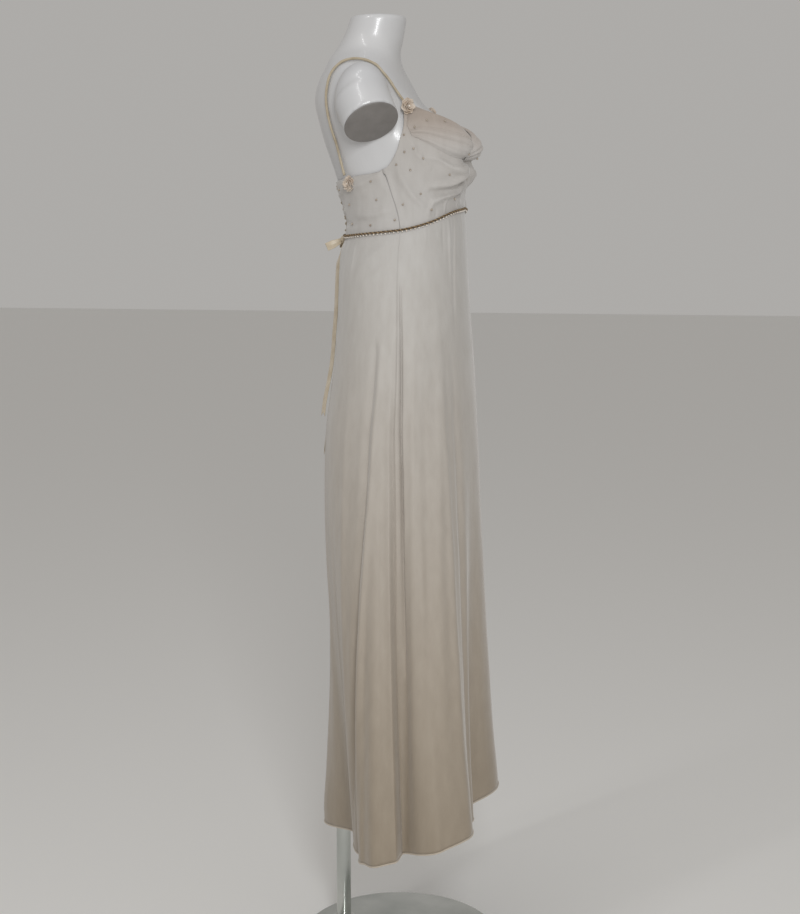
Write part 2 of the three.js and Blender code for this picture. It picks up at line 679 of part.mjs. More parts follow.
add(dress, 'lace', tube(lacePoints(), LACE_RADIUS, 6, 36), RIBBON);

// ---------------------------------------------------------------- bow

const KNOT = { centre: [-3, 104.4, 1358], radii: [8, 6, 7] };
const BOW_LOOPS = [
  { side: 'right', root: [-6.8, 109.4, 1355.2], along: [-0.28, 0.87, -0.41], length: 29, thickness: 9 },
  { side: 'left', root: [4.3, 106.9, 1356.4], along: [0.9, 0.36, -0.24], length: 32, thickness: 9 },
];
const BOW_TAILS = [
  { side: 'right', middle: -11, low: 1030, stand: 8 },
  { side: 'left', middle: 8, low: 955, stand: 6 },
];

const knot = add(dress, 'bow_knot', new THREE.SphereGeometry(1, 12, 8), RIBBON);
knot.position.set(...KNOT.centre);
knot.scale.set(...KNOT.radii);

for (const loop of BOW_LOOPS) {
  const half = loop.length / 2;
  const outline = new THREE.Shape().absellipse(half, 0, half, loop.thickness / 2, 0, 2 * Math.PI);
  const inside = new THREE.Path().absellipse(half, 0, half - RIBBON_WALL,
    loop.thickness / 2 - RIBBON_WALL, 0, 2 * Math.PI);
  outline.holes.push(inside);
  const ribbon = new THREE.ExtrudeGeometry(outline,
    { depth: RIBBON_WIDTH, curveSegments: 10, bevelEnabled: false });
  ribbon.translate(0, 0, -RIBBON_WIDTH / 2);
  const along3 = new THREE.Vector3(...loop.along).normalize();
  const aside = new THREE.Vector3(0, 0, 1).cross(along3).normalize();
  const across = along3.clone().cross(aside);
  const mesh = add(dress, `bow_loop_${loop.side}`, ribbon, RIBBON);
  mesh.quaternion.setFromRotationMatrix(new THREE.Matrix4().makeBasis(along3, aside, across));
  mesh.position.set(...loop.root);
}

for (const tail of BOW_TAILS) {
  const high = KNOT.centre[2] - 8.5;
  const notch = 7;
  const surface = (u, v) => {
    const x = tail.middle + (u - 0.5) * RIBBON_WIDTH;
    const z = lerp(tail.low + notch * (1 - Math.abs(2 * u - 1)), high, v);
    const angle = 180 + THREE.MathUtils.radToDeg(Math.asin(x / along(SKIRT_SECTIONS, 'z', z, 'half')));
    const point = skirtPoint(BACK_FOLDS, angle, z);
    point.y += SEAM_GAP + RIBBON_WALL + tail.stand * (1 - v) ** 2;
    return point;
  };
  add(dress, `bow_tail_${tail.side}`,
    wallOn(surface, [0, 0.5, 1], spread(0, 1, 12), RIBBON_WALL), RIBBON);
}

// ---------------------------------------------------------------- stand

const SOCKET = { radius: 16.5, height: 34, bore: POLE_RADIUS + SEAM_GAP, roof: 4 };
const COLLAR = { radius: 25, height: 26, shoulder: 6 };
const BASE_SIDES = 40;
const ROUND_SIDES = 24;

function turned(profile, z, sides = ROUND_SIDES) {
  const points = profile.map(([r, height]) => new THREE.Vector2(r, height));
  return new THREE.LatheGeometry(points, sides).rotateX(Math.PI / 2).translate(0, 0, z);
}

const poleFoot = BASE_HEIGHT + SEAM_GAP;
const socketFoot = FORM_BOTTOM - SEAM_GAP - SOCKET.height;
const poleTop = FORM_BOTTOM - 2 * SEAM_GAP - SOCKET.roof;

add(stand, 'pole_socket', turned([
  [SOCKET.bore, 0],
  [SOCKET.radius, 0],
  [SOCKET.radius, SOCKET.height],
  [0, SOCKET.height],
  [0, SOCKET.height - SOCKET.roof],
  [SOCKET.bore, SOCKET.height - SOCKET.roof],
  [SOCKET.bore, 0],
], socketFoot).translate(0, POLE_Y, 0), STEEL);

add(stand, 'pole', turned([
  [0, 0],
  [POLE_RADIUS, 0],
  [POLE_RADIUS, poleTop - poleFoot],
  [0, poleTop - poleFoot],
], poleFoot).translate(0, POLE_Y, 0), STEEL);

add(stand, 'foot_collar', turned([
  [SOCKET.bore, 0],
  [COLLAR.radius, 0],
  [COLLAR.radius, COLLAR.height - COLLAR.shoulder],
  [COLLAR.radius - COLLAR.shoulder, COLLAR.height],
  [SOCKET.bore, COLLAR.height],
  [SOCKET.bore, 0],
], poleFoot).translate(0, POLE_Y, 0), STEEL);

add(stand, 'base', turned([
  [0, 0],
  [BASE_RADIUS - 1, 0],
  [BASE_RADIUS, 1.5],
  [BASE_RADIUS - 1, BASE_HEIGHT - 3],
  [BASE_RADIUS - 6, BASE_HEIGHT],
  [0, BASE_HEIGHT],
], 0, BASE_SIDES), STEEL);

export default new THREE.Group().add(dress, form, stand);
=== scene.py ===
"""Evening dress on a dress form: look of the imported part."""
import math

import bmesh
import bpy
import numpy as np
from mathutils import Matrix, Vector
from mathutils.bvhtree import BVHTree


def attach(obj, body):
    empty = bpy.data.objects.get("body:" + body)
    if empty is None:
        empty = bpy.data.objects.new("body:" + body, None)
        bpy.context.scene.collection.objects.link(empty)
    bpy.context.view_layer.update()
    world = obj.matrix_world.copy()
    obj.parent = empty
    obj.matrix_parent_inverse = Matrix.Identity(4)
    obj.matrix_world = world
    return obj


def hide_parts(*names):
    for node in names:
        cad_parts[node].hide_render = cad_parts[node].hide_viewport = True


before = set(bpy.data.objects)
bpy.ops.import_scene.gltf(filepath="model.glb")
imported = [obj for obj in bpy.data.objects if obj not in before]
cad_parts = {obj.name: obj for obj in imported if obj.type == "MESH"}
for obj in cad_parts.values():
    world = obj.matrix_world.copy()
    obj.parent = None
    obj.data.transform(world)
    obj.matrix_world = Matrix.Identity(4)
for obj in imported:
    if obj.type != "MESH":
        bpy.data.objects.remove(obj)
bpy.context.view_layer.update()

# Lengths below are in millimetres, and MM turns them into Blender's metres when a mesh is made.
# The wearer's right is -X, the dress faces -Y, and ring angles run from the centre front (0)
# over the wearer's right side (90) to the centre back (180).
MM = 0.001

# ---- camera

CAMERA_PLACE = (-2.85594, -0.50358, 1.400)
CAMERA_PITCH = -8.743          # degrees above the horizon
CAMERA_AZIMUTH = -80.0         # 0 looks along +Y
FRAME_HEIGHT_PX = 914
FOCAL_PX = 1567
SENSOR_MM = 36


def make_camera():
    data = bpy.data.cameras.new("camera")
    data.sensor_width = SENSOR_MM
    data.lens = FOCAL_PX / FRAME_HEIGHT_PX * SENSOR_MM
    camera = bpy.data.objects.new("camera", data)
    bpy.context.scene.collection.objects.link(camera)
    camera.location = CAMERA_PLACE
    camera.rotation_euler = (math.radians(90 + CAMERA_PITCH), 0, math.radians(CAMERA_AZIMUTH))
    bpy.context.scene.camera = camera


# ---- tables


def table(names, rows):
    """Named columns of a table; the first column is its key."""
    columns = names.split()
    return {name: np.array([row[i] for row in rows], float) for i, name in enumerate(columns)}


# Rings of the bodice by height: half width, reach of the front and of the back, squareness of each
# half (2 is an ellipse), and how far the cups stand out. Skirt and form have such rings too.
BODICE = table("z half front back square_front square_back cup", [
    (1360, 136.5, -121, 98, 2.2, 2.1, 0),
    (1390, 133, -119.5, 96, 2.2, 2.1, 0),
    (1414, 131, -117, 101, 2.25, 2.1, 2),
    (1440, 131, -112, 109, 2.3, 2.05, 9),
    (1462, 132, -109, 116, 2.4, 2, 22),
    (1480, 133, -107, 122, 2.5, 2, 32),
    (1500, 134, -103, 129, 2.6, 2, 27),
    (1514, 136, -99, 134, 2.7, 2, 36),
    (1530, 138, -92, 139, 2.8, 2, 42),
    (1550, 140, -81, 145, 3, 2, 43),
    (1573, 142, -63, 151, 3.1, 2, 39),
    (1600, 144, -45, 154, 3.1, 2, 19),
])

SKIRT = table("z half front back square_front square_back", [
    (200, 291, -166, 116, 2.7, 2),
    (323, 282, -163, 119, 2.6, 2),
    (460, 266, -158, 123, 2.5, 2),
    (620, 246, -155, 130, 2.4, 2),
    (796, 223, -152, 137, 2.3, 2),
    (943, 203, -147, 137, 2.25, 2),
    (1019, 194, -143, 134, 2.2, 2),
    (1099, 184, -138, 123, 2.2, 2),
    (1173, 173, -132, 114, 2.2, 2.05),
    (1283, 153, -125, 109, 2.2, 2.1),
    (1340, 141, -122, 104, 2.2, 2.1),
    (1360, 136.5, -121, 98, 2.2, 2.1),
    (1390, 133, -119.5, 96, 2.2, 2.1),
    (1414, 131, -117, 101, 2.25, 2.1),
])

FORM_BOTTOM = 1008
NECK_TOP = 1755
FORM = table("z half front back square_front square_back cup", [
    (FORM_BOTTOM, 160, -116, 128.5, 2.2, 2, 0),
    (1030, 170, -126, 126, 2.2, 2, 0),
    (1099, 174, -129, 116, 2.2, 2, 0),
    (1173, 165, -126, 108, 2.2, 2.05, 0),
    (1260, 144, -113, 100, 2.2, 2.1, 0),
    (1340, 131, -110, 92, 2.2, 2.1, 0),
    (1390, 129, -113, 92, 2.2, 2.1, 0),
    (1440, 127.5, -107, 105, 2.3, 2.05, 6),
    (1480, 129.5, -102, 118, 2.5, 2, 22),
    (1500, 130.5, -98, 125, 2.6, 2, 24),
    (1530, 134, -86, 135.5, 2.8, 2, 28),
    (1573, 137, -56, 147, 3, 2, 20),
    (1600, 138, -36, 153, 3, 1.9, 4),
    (1622, 142, -24, 152, 2.9, 1.75, 0),
    (1640, 141, -14, 146, 2.9, 1.7, 0),
    (1655, 135, -6, 138, 2.7, 1.7, 0),
    (1666, 122, -2, 131, 2.4, 1.8, 0),
    (1677, 97, 0, 127, 2.1, 2, 0),
    (1692, 70, 0, 118, 2, 2, 0),
    (1712, 56, -5, 106, 2, 2, 0),
    (1735, 53, -9, 95, 2, 2, 0),
    (NECK_TOP - 4, 52, -12, 90, 2, 2, 0),
])

# Heights of the empire seam and of the bodice's top edge by ring angle, alike on both sides.
EMPIRE_LINE = table("angle z", [
    (0, 1414), (30, 1407), (60, 1388), (85, 1376), (120, 1369), (150, 1365), (180, 1366),
])

TOP_EDGE = table("angle z", [
    (0, 1511), (10, 1522), (22, 1553), (31, 1577), (41, 1589), (51, 1592), (61, 1568), (72, 1540),
    (82, 1504), (90, 1481), (100, 1474), (112, 1471), (128, 1467), (150, 1462), (180, 1457),
])

# Folds of the panels: ring angle at the top and at the hem, how far the fold pushes the cloth out
# there, and the height where it starts.
FRONT_FOLDS = table("top hem out start", [
    (-85, -82, -18, 1250),
    (-68, -62, 33, 1200),
    (-52, -46, 22, 1150),
    (-33, -29, -6, 1100),
    (-16, -15, -18, 1120),
    (0, 0, 27, 900),
    (15, 14, -19, 1120),
    (33, 30, 16, 1100),
    (54, 48, 48, 1150),
    (70, 63, 38, 1200),
    (85, 82, -20, 1250),
])

BACK_FOLDS = table("top hem out start", [
    (85, 82, -20, 1250),
    (88.5, 85.5, 13, 1250),
    (95, 94, 16, 1235),
    (99, 108, 0, 1235),
    (107, 126, -24, 1230),
    (140, 157, -34, 1000),
    (180, 181, 28, 700),
    (218, 205, -30, 1020),
    (252, 235, -18, 1210),
    (261, 251, 2, 1235),
    (266, 265, 17, 1235),
    (271.5, 274.5, 11, 1250),
    (275, 278, -18, 1250),
])

FOLD_POWER = 1.25              # above 1, a fold opens faster towards the hem
FOLD_LIMIT = 1.15              # growth of a fold where the hem hangs lowest, 1 at the front hem
FOLD_TOP = 1376
HEM_FRONT = 323
HEM_RISE = 0.275               # drop of the hem to each millimetre towards the back
HEM_FRONT_Y = -190
CUP_CENTRE = 71
CUP_SPREAD = 38

# ---- surfaces


def along(columns, name, at):
    """Smooth value of a column at the key (cubic, with the slopes of its neighbours)."""
    key = next(iter(columns.values()))
    value = columns[name]
    at = np.clip(np.asarray(at, float), key[0], key[-1])
    slopes = np.empty_like(value)
    slopes[1:-1] = (value[2:] - value[:-2]) / (key[2:] - key[:-2])
    slopes[0] = (value[1] - value[0]) / (key[1] - key[0])
    slopes[-1] = (value[-1] - value[-2]) / (key[-1] - key[-2])
    row = np.clip(np.searchsorted(key, at, side="right") - 1, 0, len(key) - 2)
    span = key[row + 1] - key[row]
    t = (at - key[row]) / span
    t2, t3 = t * t, t * t * t
    return ((2 * t3 - 3 * t2 + 1) * value[row] + (t3 - 2 * t2 + t) * span * slopes[row]
            + (3 * t2 - 2 * t3) * value[row + 1] + (t3 - t2) * span * slopes[row + 1])


def line_height(line, angle):
    folded = np.abs(angle) % 360
    return along(line, "z", np.where(folded > 180, 360 - folded, folded))


def ring_point(sections, angle, z):
    """Points of the superellipse rings at these angles and heights."""
    angle, z = np.broadcast_arrays(np.asarray(angle, float), np.asarray(z, float))
    front, back = along(sections, "front", z), along(sections, "back", z)
    s, c = np.sin(np.radians(angle)), np.cos(np.radians(angle))
    square = np.where(c > 0, along(sections, "square_front", z), along(sections, "square_back", z))
    power = 2 / square
    x = -along(sections, "half", z) * np.sign(s) * np.abs(s) ** power
    y = (front + back) / 2 - (back - front) / 2 * np.sign(c) * np.abs(c) ** power
    return np.stack([x, y, z], -1)


def body_point(sections, angle, z):
    """Ring points with the two cups standing out of the front."""
    points = ring_point(sections, angle, z)
    aside = (np.abs(points[..., 0]) - CUP_CENTRE) / CUP_SPREAD
    cup = along(sections, "cup", points[..., 2]) * np.exp(-aside ** 2)
    points[..., 1] -= np.where(np.cos(np.radians(angle)) > 0, cup, 0)
    return points


def outward(sections, angle, z):
    """Level unit vectors that point out of the rings."""
    ahead = ring_point(sections, np.asarray(angle) + 0.5, z)
    behind = ring_point(sections, np.asarray(angle) - 0.5, z)
    out = np.stack([behind[..., 1] - ahead[..., 1], ahead[..., 0] - behind[..., 0],
                    np.zeros_like(ahead[..., 0])], -1)
    return out / np.linalg.norm(out, axis=-1, keepdims=True)


def fold_angles(folds, z):
    """Ring angles of the fold rows at heights z; the last axis counts the rows."""
    drop = np.clip((FOLD_TOP - np.asarray(z, float)) / (FOLD_TOP - HEM_FRONT), 0, 1)[..., None]
    return folds["top"] + (folds["hem"] - folds["top"]) * drop


def fold_out(folds, angle, z):
    """How far the folds push the skirt out at these angles and heights."""
    angle, z = np.broadcast_arrays(np.asarray(angle, float), np.asarray(z, float))
    places = fold_angles(folds, z)
    grown = np.clip((folds["start"] - z[..., None]) / (folds["start"] - HEM_FRONT), 0, FOLD_LIMIT)
    depths = folds["out"] * grown ** FOLD_POWER
    row = np.clip((angle[..., None] > places).sum(-1) - 1, 0, places.shape[-1] - 2)[..., None]
    low, high = np.take_along_axis(places, row, -1), np.take_along_axis(places, row + 1, -1)
    t = np.clip((angle[..., None] - low) / (high - low), 0, 1)
    blend = (1 - np.cos(np.pi * t)) / 2
    near, far = np.take_along_axis(depths, row, -1), np.take_along_axis(depths, row + 1, -1)
    return (near + (far - near) * blend)[..., 0]


def skirt_point(folds, angle, z):
    push = fold_out(folds, angle, z)[..., None]
    return ring_point(SKIRT, angle, z) + outward(SKIRT, angle, z) * push


def hem_height(y):
    return HEM_FRONT - HEM_RISE * (y - HEM_FRONT_Y)


# ---- materials

RAMP_TOP = 2.0                 # metres above the floor where a colour ramp by height ends


def colour(rgb):
    """Linear RGBA of an sRGB colour given as 0 to 255."""
    values = [c / 255 for c in rgb]
    linear = [c / 12.92 if c <= 0.04045 else ((c + 0.055) / 1.055) ** 2.4 for c in values]
    return (*linear, 1)


def new_material(name, base, roughness, **sockets):
    """Principled material with a base colour (sRGB 0 to 255) and constant sockets."""
    material = bpy.data.materials.new(name)
    material.use_nodes = True
    shader = material.node_tree.nodes["Principled BSDF"]
    shader.inputs["Base Color"].default_value = colour(base)
    shader.inputs["Roughness"].default_value = roughness
    for socket, value in sockets.items():
        shader.inputs[socket.replace("_", " ")].default_value = value
    return material


def node(material, kind, **settings):
    """Shader node with its sockets, or else its properties, set by name."""
    made = material.node_tree.nodes.new("ShaderNode" + kind)
    for key, value in settings.items():
        socket = made.inputs.get(key)
        if socket is not None:
            socket.default_value = value
        else:
            setattr(made, key, value)
    return made


def link(material, source, output, target, socket):
    material.node_tree.links.new(source.outputs[output], target.inputs[socket])


def noise(material, scale, stretch=(1, 1, 1), **settings):
    """Noise over object coordinates, which three factors multiply first."""
    place = node(material, "TexCoord")
    mapping = node(material, "Mapping", Scale=stretch)
    made = node(material, "TexNoise", Scale=scale, **settings)
    link(material, place, "Object", mapping, "Vector")
    link(material, mapping, "Vector", made, "Vector")
    return made


def mottle(material, dark, light, scale, detail=3, stretch=(1, 1, 1)):
    """Colour that wanders softly between two."""
    ramp = node(material, "ValToRGB")
    for element, place, rgb in zip(ramp.color_ramp.elements, (0.3, 0.7), (dark, light)):
        element.position = place
        element.color = colour(rgb)
    link(material, noise(material, scale, stretch, Detail=detail), "Fac", ramp, "Fac")
    return ramp


def by_height(material, stops):
    """Colour ramp over the height, with stops of (metres, sRGB colour)."""
    place = node(material, "TexCoord")
    parts = node(material, "SeparateXYZ")
    share = node(material, "Math", operation="DIVIDE")
    share.inputs[1].default_value = RAMP_TOP
    ramp = node(material, "ValToRGB")
    ramp.color_ramp.interpolation = "B_SPLINE"
    elements = ramp.color_ramp.elements
    while len(elements) < len(stops):
        elements.new(0.5)
    for element, (height, rgb) in zip(elements, stops):
        element.position = height / RAMP_TOP
        element.color = colour(rgb)
    link(material, place, "Object", parts, "Vector")
    link(material, parts, "Z", share, 0)
    link(material, share, "Value", ramp, "Fac")
    return ramp


def multiplied(material, first, second):
    """Colour socket with the product of two nodes' colours."""
    mix = node(material, "Mix", data_type="RGBA", blend_type="MULTIPLY")
    mix.inputs["Factor"].default_value = 1
    taken = [socket for socket in mix.inputs if socket.type == "RGBA"]
    for source, socket in zip((first, second), taken):
        material.node_tree.links.new(source.outputs["Color"], socket)
    return next(socket for socket in mix.outputs if socket.type == "RGBA")


def set_base(material, output):
    shader = material.node_tree.nodes["Principled BSDF"]
    material.node_tree.links.new(output, shader.inputs["Base Color"])


def add_bump(material, layers):
    """Bump from noise layers of (scale, stretch, strength, distance in metres)."""
    below = None
    for scale, stretch, strength, distance in layers:
        bump = node(material, "Bump", Strength=strength, Distance=distance)
        link(material, noise(material, scale, stretch), "Fac", bump, "Height")
        if below is not None:
            link(material, below, "Normal", bump, "Normal")
        below = bump
    link(material, below, "Normal", material.node_tree.nodes["Principled BSDF"], "Normal")


def chiffon_material(name, stops):
    """Crepe chiffon: fine crinkle, faint upright and level slubs, soft sheen, and shade painted in
    by a colour ramp over the height.
    """
    material = new_material(name, stops[-1][1], 0.68, Sheen_Weight=0.35, Sheen_Roughness=0.45)
    slub = mottle(material, (246, 245, 244), (255, 255, 255), 70, 5, (1, 1, 0.3))
    set_base(material, multiplied(material, by_height(material, stops), slub))
    add_bump(material, [(1500, (1, 1, 1), 0.35, 0.0004), (420, (0.25, 0.25, 2.4), 0.22, 0.0006),
                        (46, (1, 1, 0.3), 0.25, 0.003)])
    return material


def mottled_material(name, dark, light, scale, roughness, bumps=(), detail=3, **sockets):
    """Material whose colour wanders between two, with bump layers."""
    material = new_material(name, light, roughness, **sockets)
    set_base(material, mottle(material, dark, light, scale, detail).outputs["Color"])
    if bumps:
        add_bump(material, bumps)
    return material


# The skirt darkens and browns towards the hem: painted shade, where the light falls off towards the
# floor.
SKIRT_PAINTED_SHADE_STOPS = [(0.15, (146, 132, 113)), (0.6, (168, 156, 141)), (1.05, (187, 181, 174)),
               (1.3, (191, 188, 184)), (1.45, (193, 190, 187))]
# Bodice and drape darken above 1.53 m: painted shade over the top of the bodice and the cups.
BODICE_PAINTED_SHADE_STOPS = [(1.36, (190, 187, 184)), (1.53, (189, 185, 181)), (1.56, (174, 163, 153)),
                (1.6, (164, 151, 140))]
DRAPE_PAINTED_SHADE_STOPS = [(1.5, (191, 188, 185)), (1.53, (188, 182, 177)), (1.56, (169, 157, 147)),
               (1.6, (160, 147, 136))]
# The hem roll is lighter than the skirt, as doubled chiffon, and a little darker lower down: the
# same painted shade towards the floor.
HEM_STOPS = [(0.2, (192, 180, 163)), (0.4, (194, 184, 170))]
SATIN = dict(scale=60, detail=4, Sheen_Weight=0.4, Sheen_Roughness=0.35,
             bumps=[(1100, (1, 1, 1), 0.3, 0.0003), (120, (1, 1, 0.4), 0.3, 0.0012)])
BRAID = dict(scale=260, roughness=0.45, Metallic=0.2, bumps=[(1400, (1, 1, 1), 0.6, 0.0005)])
PEARL = dict(scale=200, roughness=0.18, Coat_Weight=0.7, Coat_Roughness=0.08, Sheen_Weight=0.2)

chiffon = chiffon_material("chiffon", SKIRT_PAINTED_SHADE_STOPS)
bodice_cloth = chiffon_material("bodice_cloth", BODICE_PAINTED_SHADE_STOPS)
drape_cloth = chiffon_material("drape_cloth", DRAPE_PAINTED_SHADE_STOPS)
hem_cloth = chiffon_material("hem_cloth", HEM_STOPS)
ribbon_satin = mottled_material("ribbon", (190, 174, 148), (208, 196, 176), roughness=0.42, **SATIN)
rouleau_satin = mottled_material("rouleau", (166, 152, 128), (186, 174, 152), roughness=0.42,
                                 **SATIN)
petal_satin = mottled_material("petal", (184, 164, 144), (224, 214, 202), roughness=0.5, **SATIN)
gloss = mottled_material("form_gloss", (196, 196, 198), (208, 207, 207), 5, 0.38,
                         [(22, (1, 1, 1), 0.12, 0.002)], Coat_Weight=0.4, Coat_Roughness=0.13)
plate_grey = mottled_material("arm_plate", (118, 114, 111), (130, 126, 123), 40, 0.5,
                              [(500, (1, 1, 1), 0.25, 0.0006)])
steel = mottled_material("steel", (178, 182, 178), (208, 210, 206), 9, 0.16,
                         [(700, (0.2, 0.2, 3), 0.12, 0.0003)], Metallic=1.0)
braid_dark = mottled_material("braid_dark", (72, 56, 38), (104, 84, 60), **BRAID)
braid_gold = mottled_material("braid_gold", (134, 110, 78), (176, 152, 116), **BRAID)
pearl = mottled_material("pearl", (214, 200, 186), (236, 230, 222), **PEARL)
# The bodice pearls are darker than the braid's beads: painted shade standing for the shadow about
# each pearl.
bead_painted_shade = mottled_material("bead_painted_shade", (150, 138, 124), (176, 164, 150), **PEARL)

# ---- meshes


def piece(name, points, faces, material, slot):
    """Mesh object from points in millimetres, riding on the frame's one body."""
    mesh = bpy.data.meshes.new(name)
    mesh.from_pydata([tuple(p) for p in np.asarray(points, float) * MM], [], faces)
    mesh.validate()
    mesh.materials.append(material)
    mesh.polygons.foreach_set("use_smooth", [True] * len(mesh.polygons))
    made = bpy.data.objects.new(name, mesh)
    bpy.context.scene.collection.objects.link(made)
    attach(made, "root")
    return made


def grid_faces(rows, columns, closed=False):
    """Quads of a grid; columns run towards the wearer's right seen from outside, rows upwards."""
    faces = []
    for r in range(rows - 1):
        for c in range(columns if closed else columns - 1):
            d = (c + 1) % columns
            faces.append((r * columns + c, (r + 1) * columns + c, (r + 1) * columns + d,
                          r * columns + d))
    return faces


def round_faces(rows, sides):
    """Quads of a round of points whose columns run the other way."""
    return [face[::-1] for face in grid_faces(rows, sides, closed=True)]


def joined(parts):
    """Points and faces of several (points, faces) as one."""
    points, faces, start = [], [], 0
    for part_points, part_faces in parts:
        part_points = np.asarray(part_points, float).reshape(-1, 3)
        points.append(part_points)
        faces += [tuple(start + i for i in face) for face in part_faces]
        start += len(part_points)
    return np.concatenate(points), faces


def normals(grid):
    """Outward unit normals of a grid of points [row][column]."""
    across, up = np.gradient(grid, axis=1), np.gradient(grid, axis=0)
    out = np.cross(up, across)
    return out / np.maximum(np.linalg.norm(out, axis=-1, keepdims=True), 1e-9)


def thicken(made, thickness):
    """Gives a sheet so many millimetres inwards."""
    solid = made.modifiers.new("thickness", "SOLIDIFY")
    solid.thickness = thickness * MM
    solid.offset = -1


def shell(name, grid, thickness, material, slot):
    """Thin cloth whose outer face is the grid."""
    rows, columns = grid.shape[:2]
    made = piece(name, grid.reshape(-1, 3), grid_faces(rows, columns), material, slot)
    thicken(made, thickness)
    return made


def smooth_path(points, steps):
    """Points along a centripetal Catmull-Rom curve through the given ones, evenly by length."""
    points = np.asarray(points, float)
    ends = [2 * points[0] - points[1], *points, 2 * points[-1] - points[-2]]
    dense = []
    for p0, p1, p2, p3 in zip(ends, ends[1:], ends[2:], ends[3:]):
        t1 = np.linalg.norm(p1 - p0) ** 0.5
        t2 = t1 + np.linalg.norm(p2 - p1) ** 0.5
        t3 = t2 + np.linalg.norm(p3 - p2) ** 0.5
        t = np.linspace(t1, t2, 24, endpoint=False)[:, None]
        a1 = (t1 - t) / t1 * p0 + t / t1 * p1
        a2 = (t2 - t) / (t2 - t1) * p1 + (t - t1) / (t2 - t1) * p2
        a3 = (t3 - t) / (t3 - t2) * p2 + (t - t2) / (t3 - t2) * p3
        b1 = (t2 - t) / t2 * a1 + t / t2 * a2
        b2 = (t3 - t) / (t3 - t1) * a2 + (t - t1) / (t3 - t1) * a3
        dense.append((t2 - t) / (t2 - t1) * b1 + (t - t1) / (t2 - t1) * b2)
    dense = np.concatenate([*dense, points[-1:]])
    return resampled(dense, steps)


def resampled(path, steps):
    length = np.concatenate([[0], np.cumsum(np.linalg.norm(np.diff(path, axis=0), axis=1))])
    at = np.linspace(0, length[-1], steps + 1)
    return np.stack([np.interp(at, length, path[:, i]) for i in range(3)], -1)


def frames(path):
    """Side and up vectors along a path, carried on without twist."""
    tangents = np.gradient(path, axis=0)
    tangents /= np.linalg.norm(tangents, axis=1, keepdims=True)
    side = np.cross(tangents[0], (0, 0, 1) if abs(tangents[0][2]) < 0.9 else (0, 1, 0))
    sides = []
    for tangent in tangents:
        side = side - tangent * (side @ tangent)
        side = side / np.linalg.norm(side)
        sides.append(side)
    sides = np.array(sides)
    return sides, np.cross(tangents, sides)


def tube_mesh(path, radius, sides):
    """Points and faces of a closed tube, whose radius may vary along it."""
    side, up = frames(path)
    radius = np.broadcast_to(np.asarray(radius, float), len(path))
    turn = np.linspace(0, 2 * np.pi, sides, endpoint=False)
    ring = side[:, None] * np.cos(turn)[None, :, None] + up[:, None] * np.sin(turn)[None, :, None]
    points = (path[:, None] + ring * radius[:, None, None]).reshape(-1, 3)
    faces = round_faces(len(path), sides)
    faces.append(tuple(reversed(range(sides))))
    faces.append(tuple(range((len(path) - 1) * sides, len(path) * sides)))
    return points, faces


def ball_mesh(centre, radii, rings, sides):
    """Points and faces of an ellipsoid."""
    turn = np.linspace(0, 2 * np.pi, sides, endpoint=False)
    rows = [np.array([[0, 0, -1.0]])]
    for latitude in np.linspace(-np.pi / 2, np.pi / 2, rings + 1)[1:-1]:
        rows.append(np.stack([np.cos(latitude) * np.cos(turn), np.cos(latitude) * np.sin(turn),
                              np.full(sides, np.sin(latitude))], -1))
    rows.append(np.array([[0, 0, 1.0]]))
    points = np.concatenate(rows) * radii + centre
    last = len(points) - 1
    faces = [(0, 1 + (c + 1) % sides, 1 + c) for c in range(sides)]
    for r in range(rings - 2):
        low, high = 1 + r * sides, 1 + (r + 1) * sides
        faces += [(low + c, low + (c + 1) % sides, high + (c + 1) % sides, high + c)
                  for c in range(sides)]
    low = 1 + (rings - 2) * sides
    faces += [(low + c, low + (c + 1) % sides, last) for c in range(sides)]
    return points, faces


# ---- creases


def beside(across, up, path):
    """Distance to a polyline in a flat plane, the share of the way along it, and its side (+1 is
    left of its direction)."""
    best = np.full(across.shape, 1e9)
    share = np.zeros(across.shape)
    side = np.ones(across.shape)
    path = np.asarray(path, float)
    lengths = np.linalg.norm(np.diff(path, axis=0), axis=1)
    before = np.concatenate([[0], np.cumsum(lengths)])
    for i, length in enumerate(lengths):
        step = (path[i + 1] - path[i]) / length
        dx, dy = across - path[i, 0], up - path[i, 1]
        t = np.clip(dx * step[0] + dy * step[1], 0, length)
        near_x, near_y = dx - t * step[0], dy - t * step[1]
        gap = np.hypot(near_x, near_y)
        closer = gap < best
        best = np.where(closer, gap, best)
        share = np.where(closer, (before[i] + t) / before[-1], share)
        side = np.where(closer, np.sign(step[0] * near_y - step[1] * near_x + 1e-12), side)
    return best, share, side


def crease(across, up, path, width, depth, lap=1.0):
    """Height of a soft ridge or trough (negative depth) along a path, fading at both ends. With lap
    under 1 its right-hand side is that much steeper, as where one fold lies over the next."""
    gap, share, side = beside(across, up, path)
    wide = np.where(side > 0, width, width * lap)
    fade = np.sin(np.pi * np.clip(share, 0.03, 0.97)) ** 0.6
    return depth * np.exp(-(gap / wide) ** 2) * fade


WAVES = 5
GOLDEN_TURN = 2.399


def wander(across, up, size, seed):
    """Soft unevenness between -1 and 1, from a few crossing waves of about the given size."""
    total = 0
    for k in range(WAVES):
        turn = seed * 1.7 + k * GOLDEN_TURN
        waves = (0.75 + 0.21 * k) * 2 * np.pi / size
        total = total + np.sin((across * math.cos(turn) + up * math.sin(turn)) * waves
                               + seed * 3.1 + 2.3 * k)
    return total / WAVES


# ---- skirt

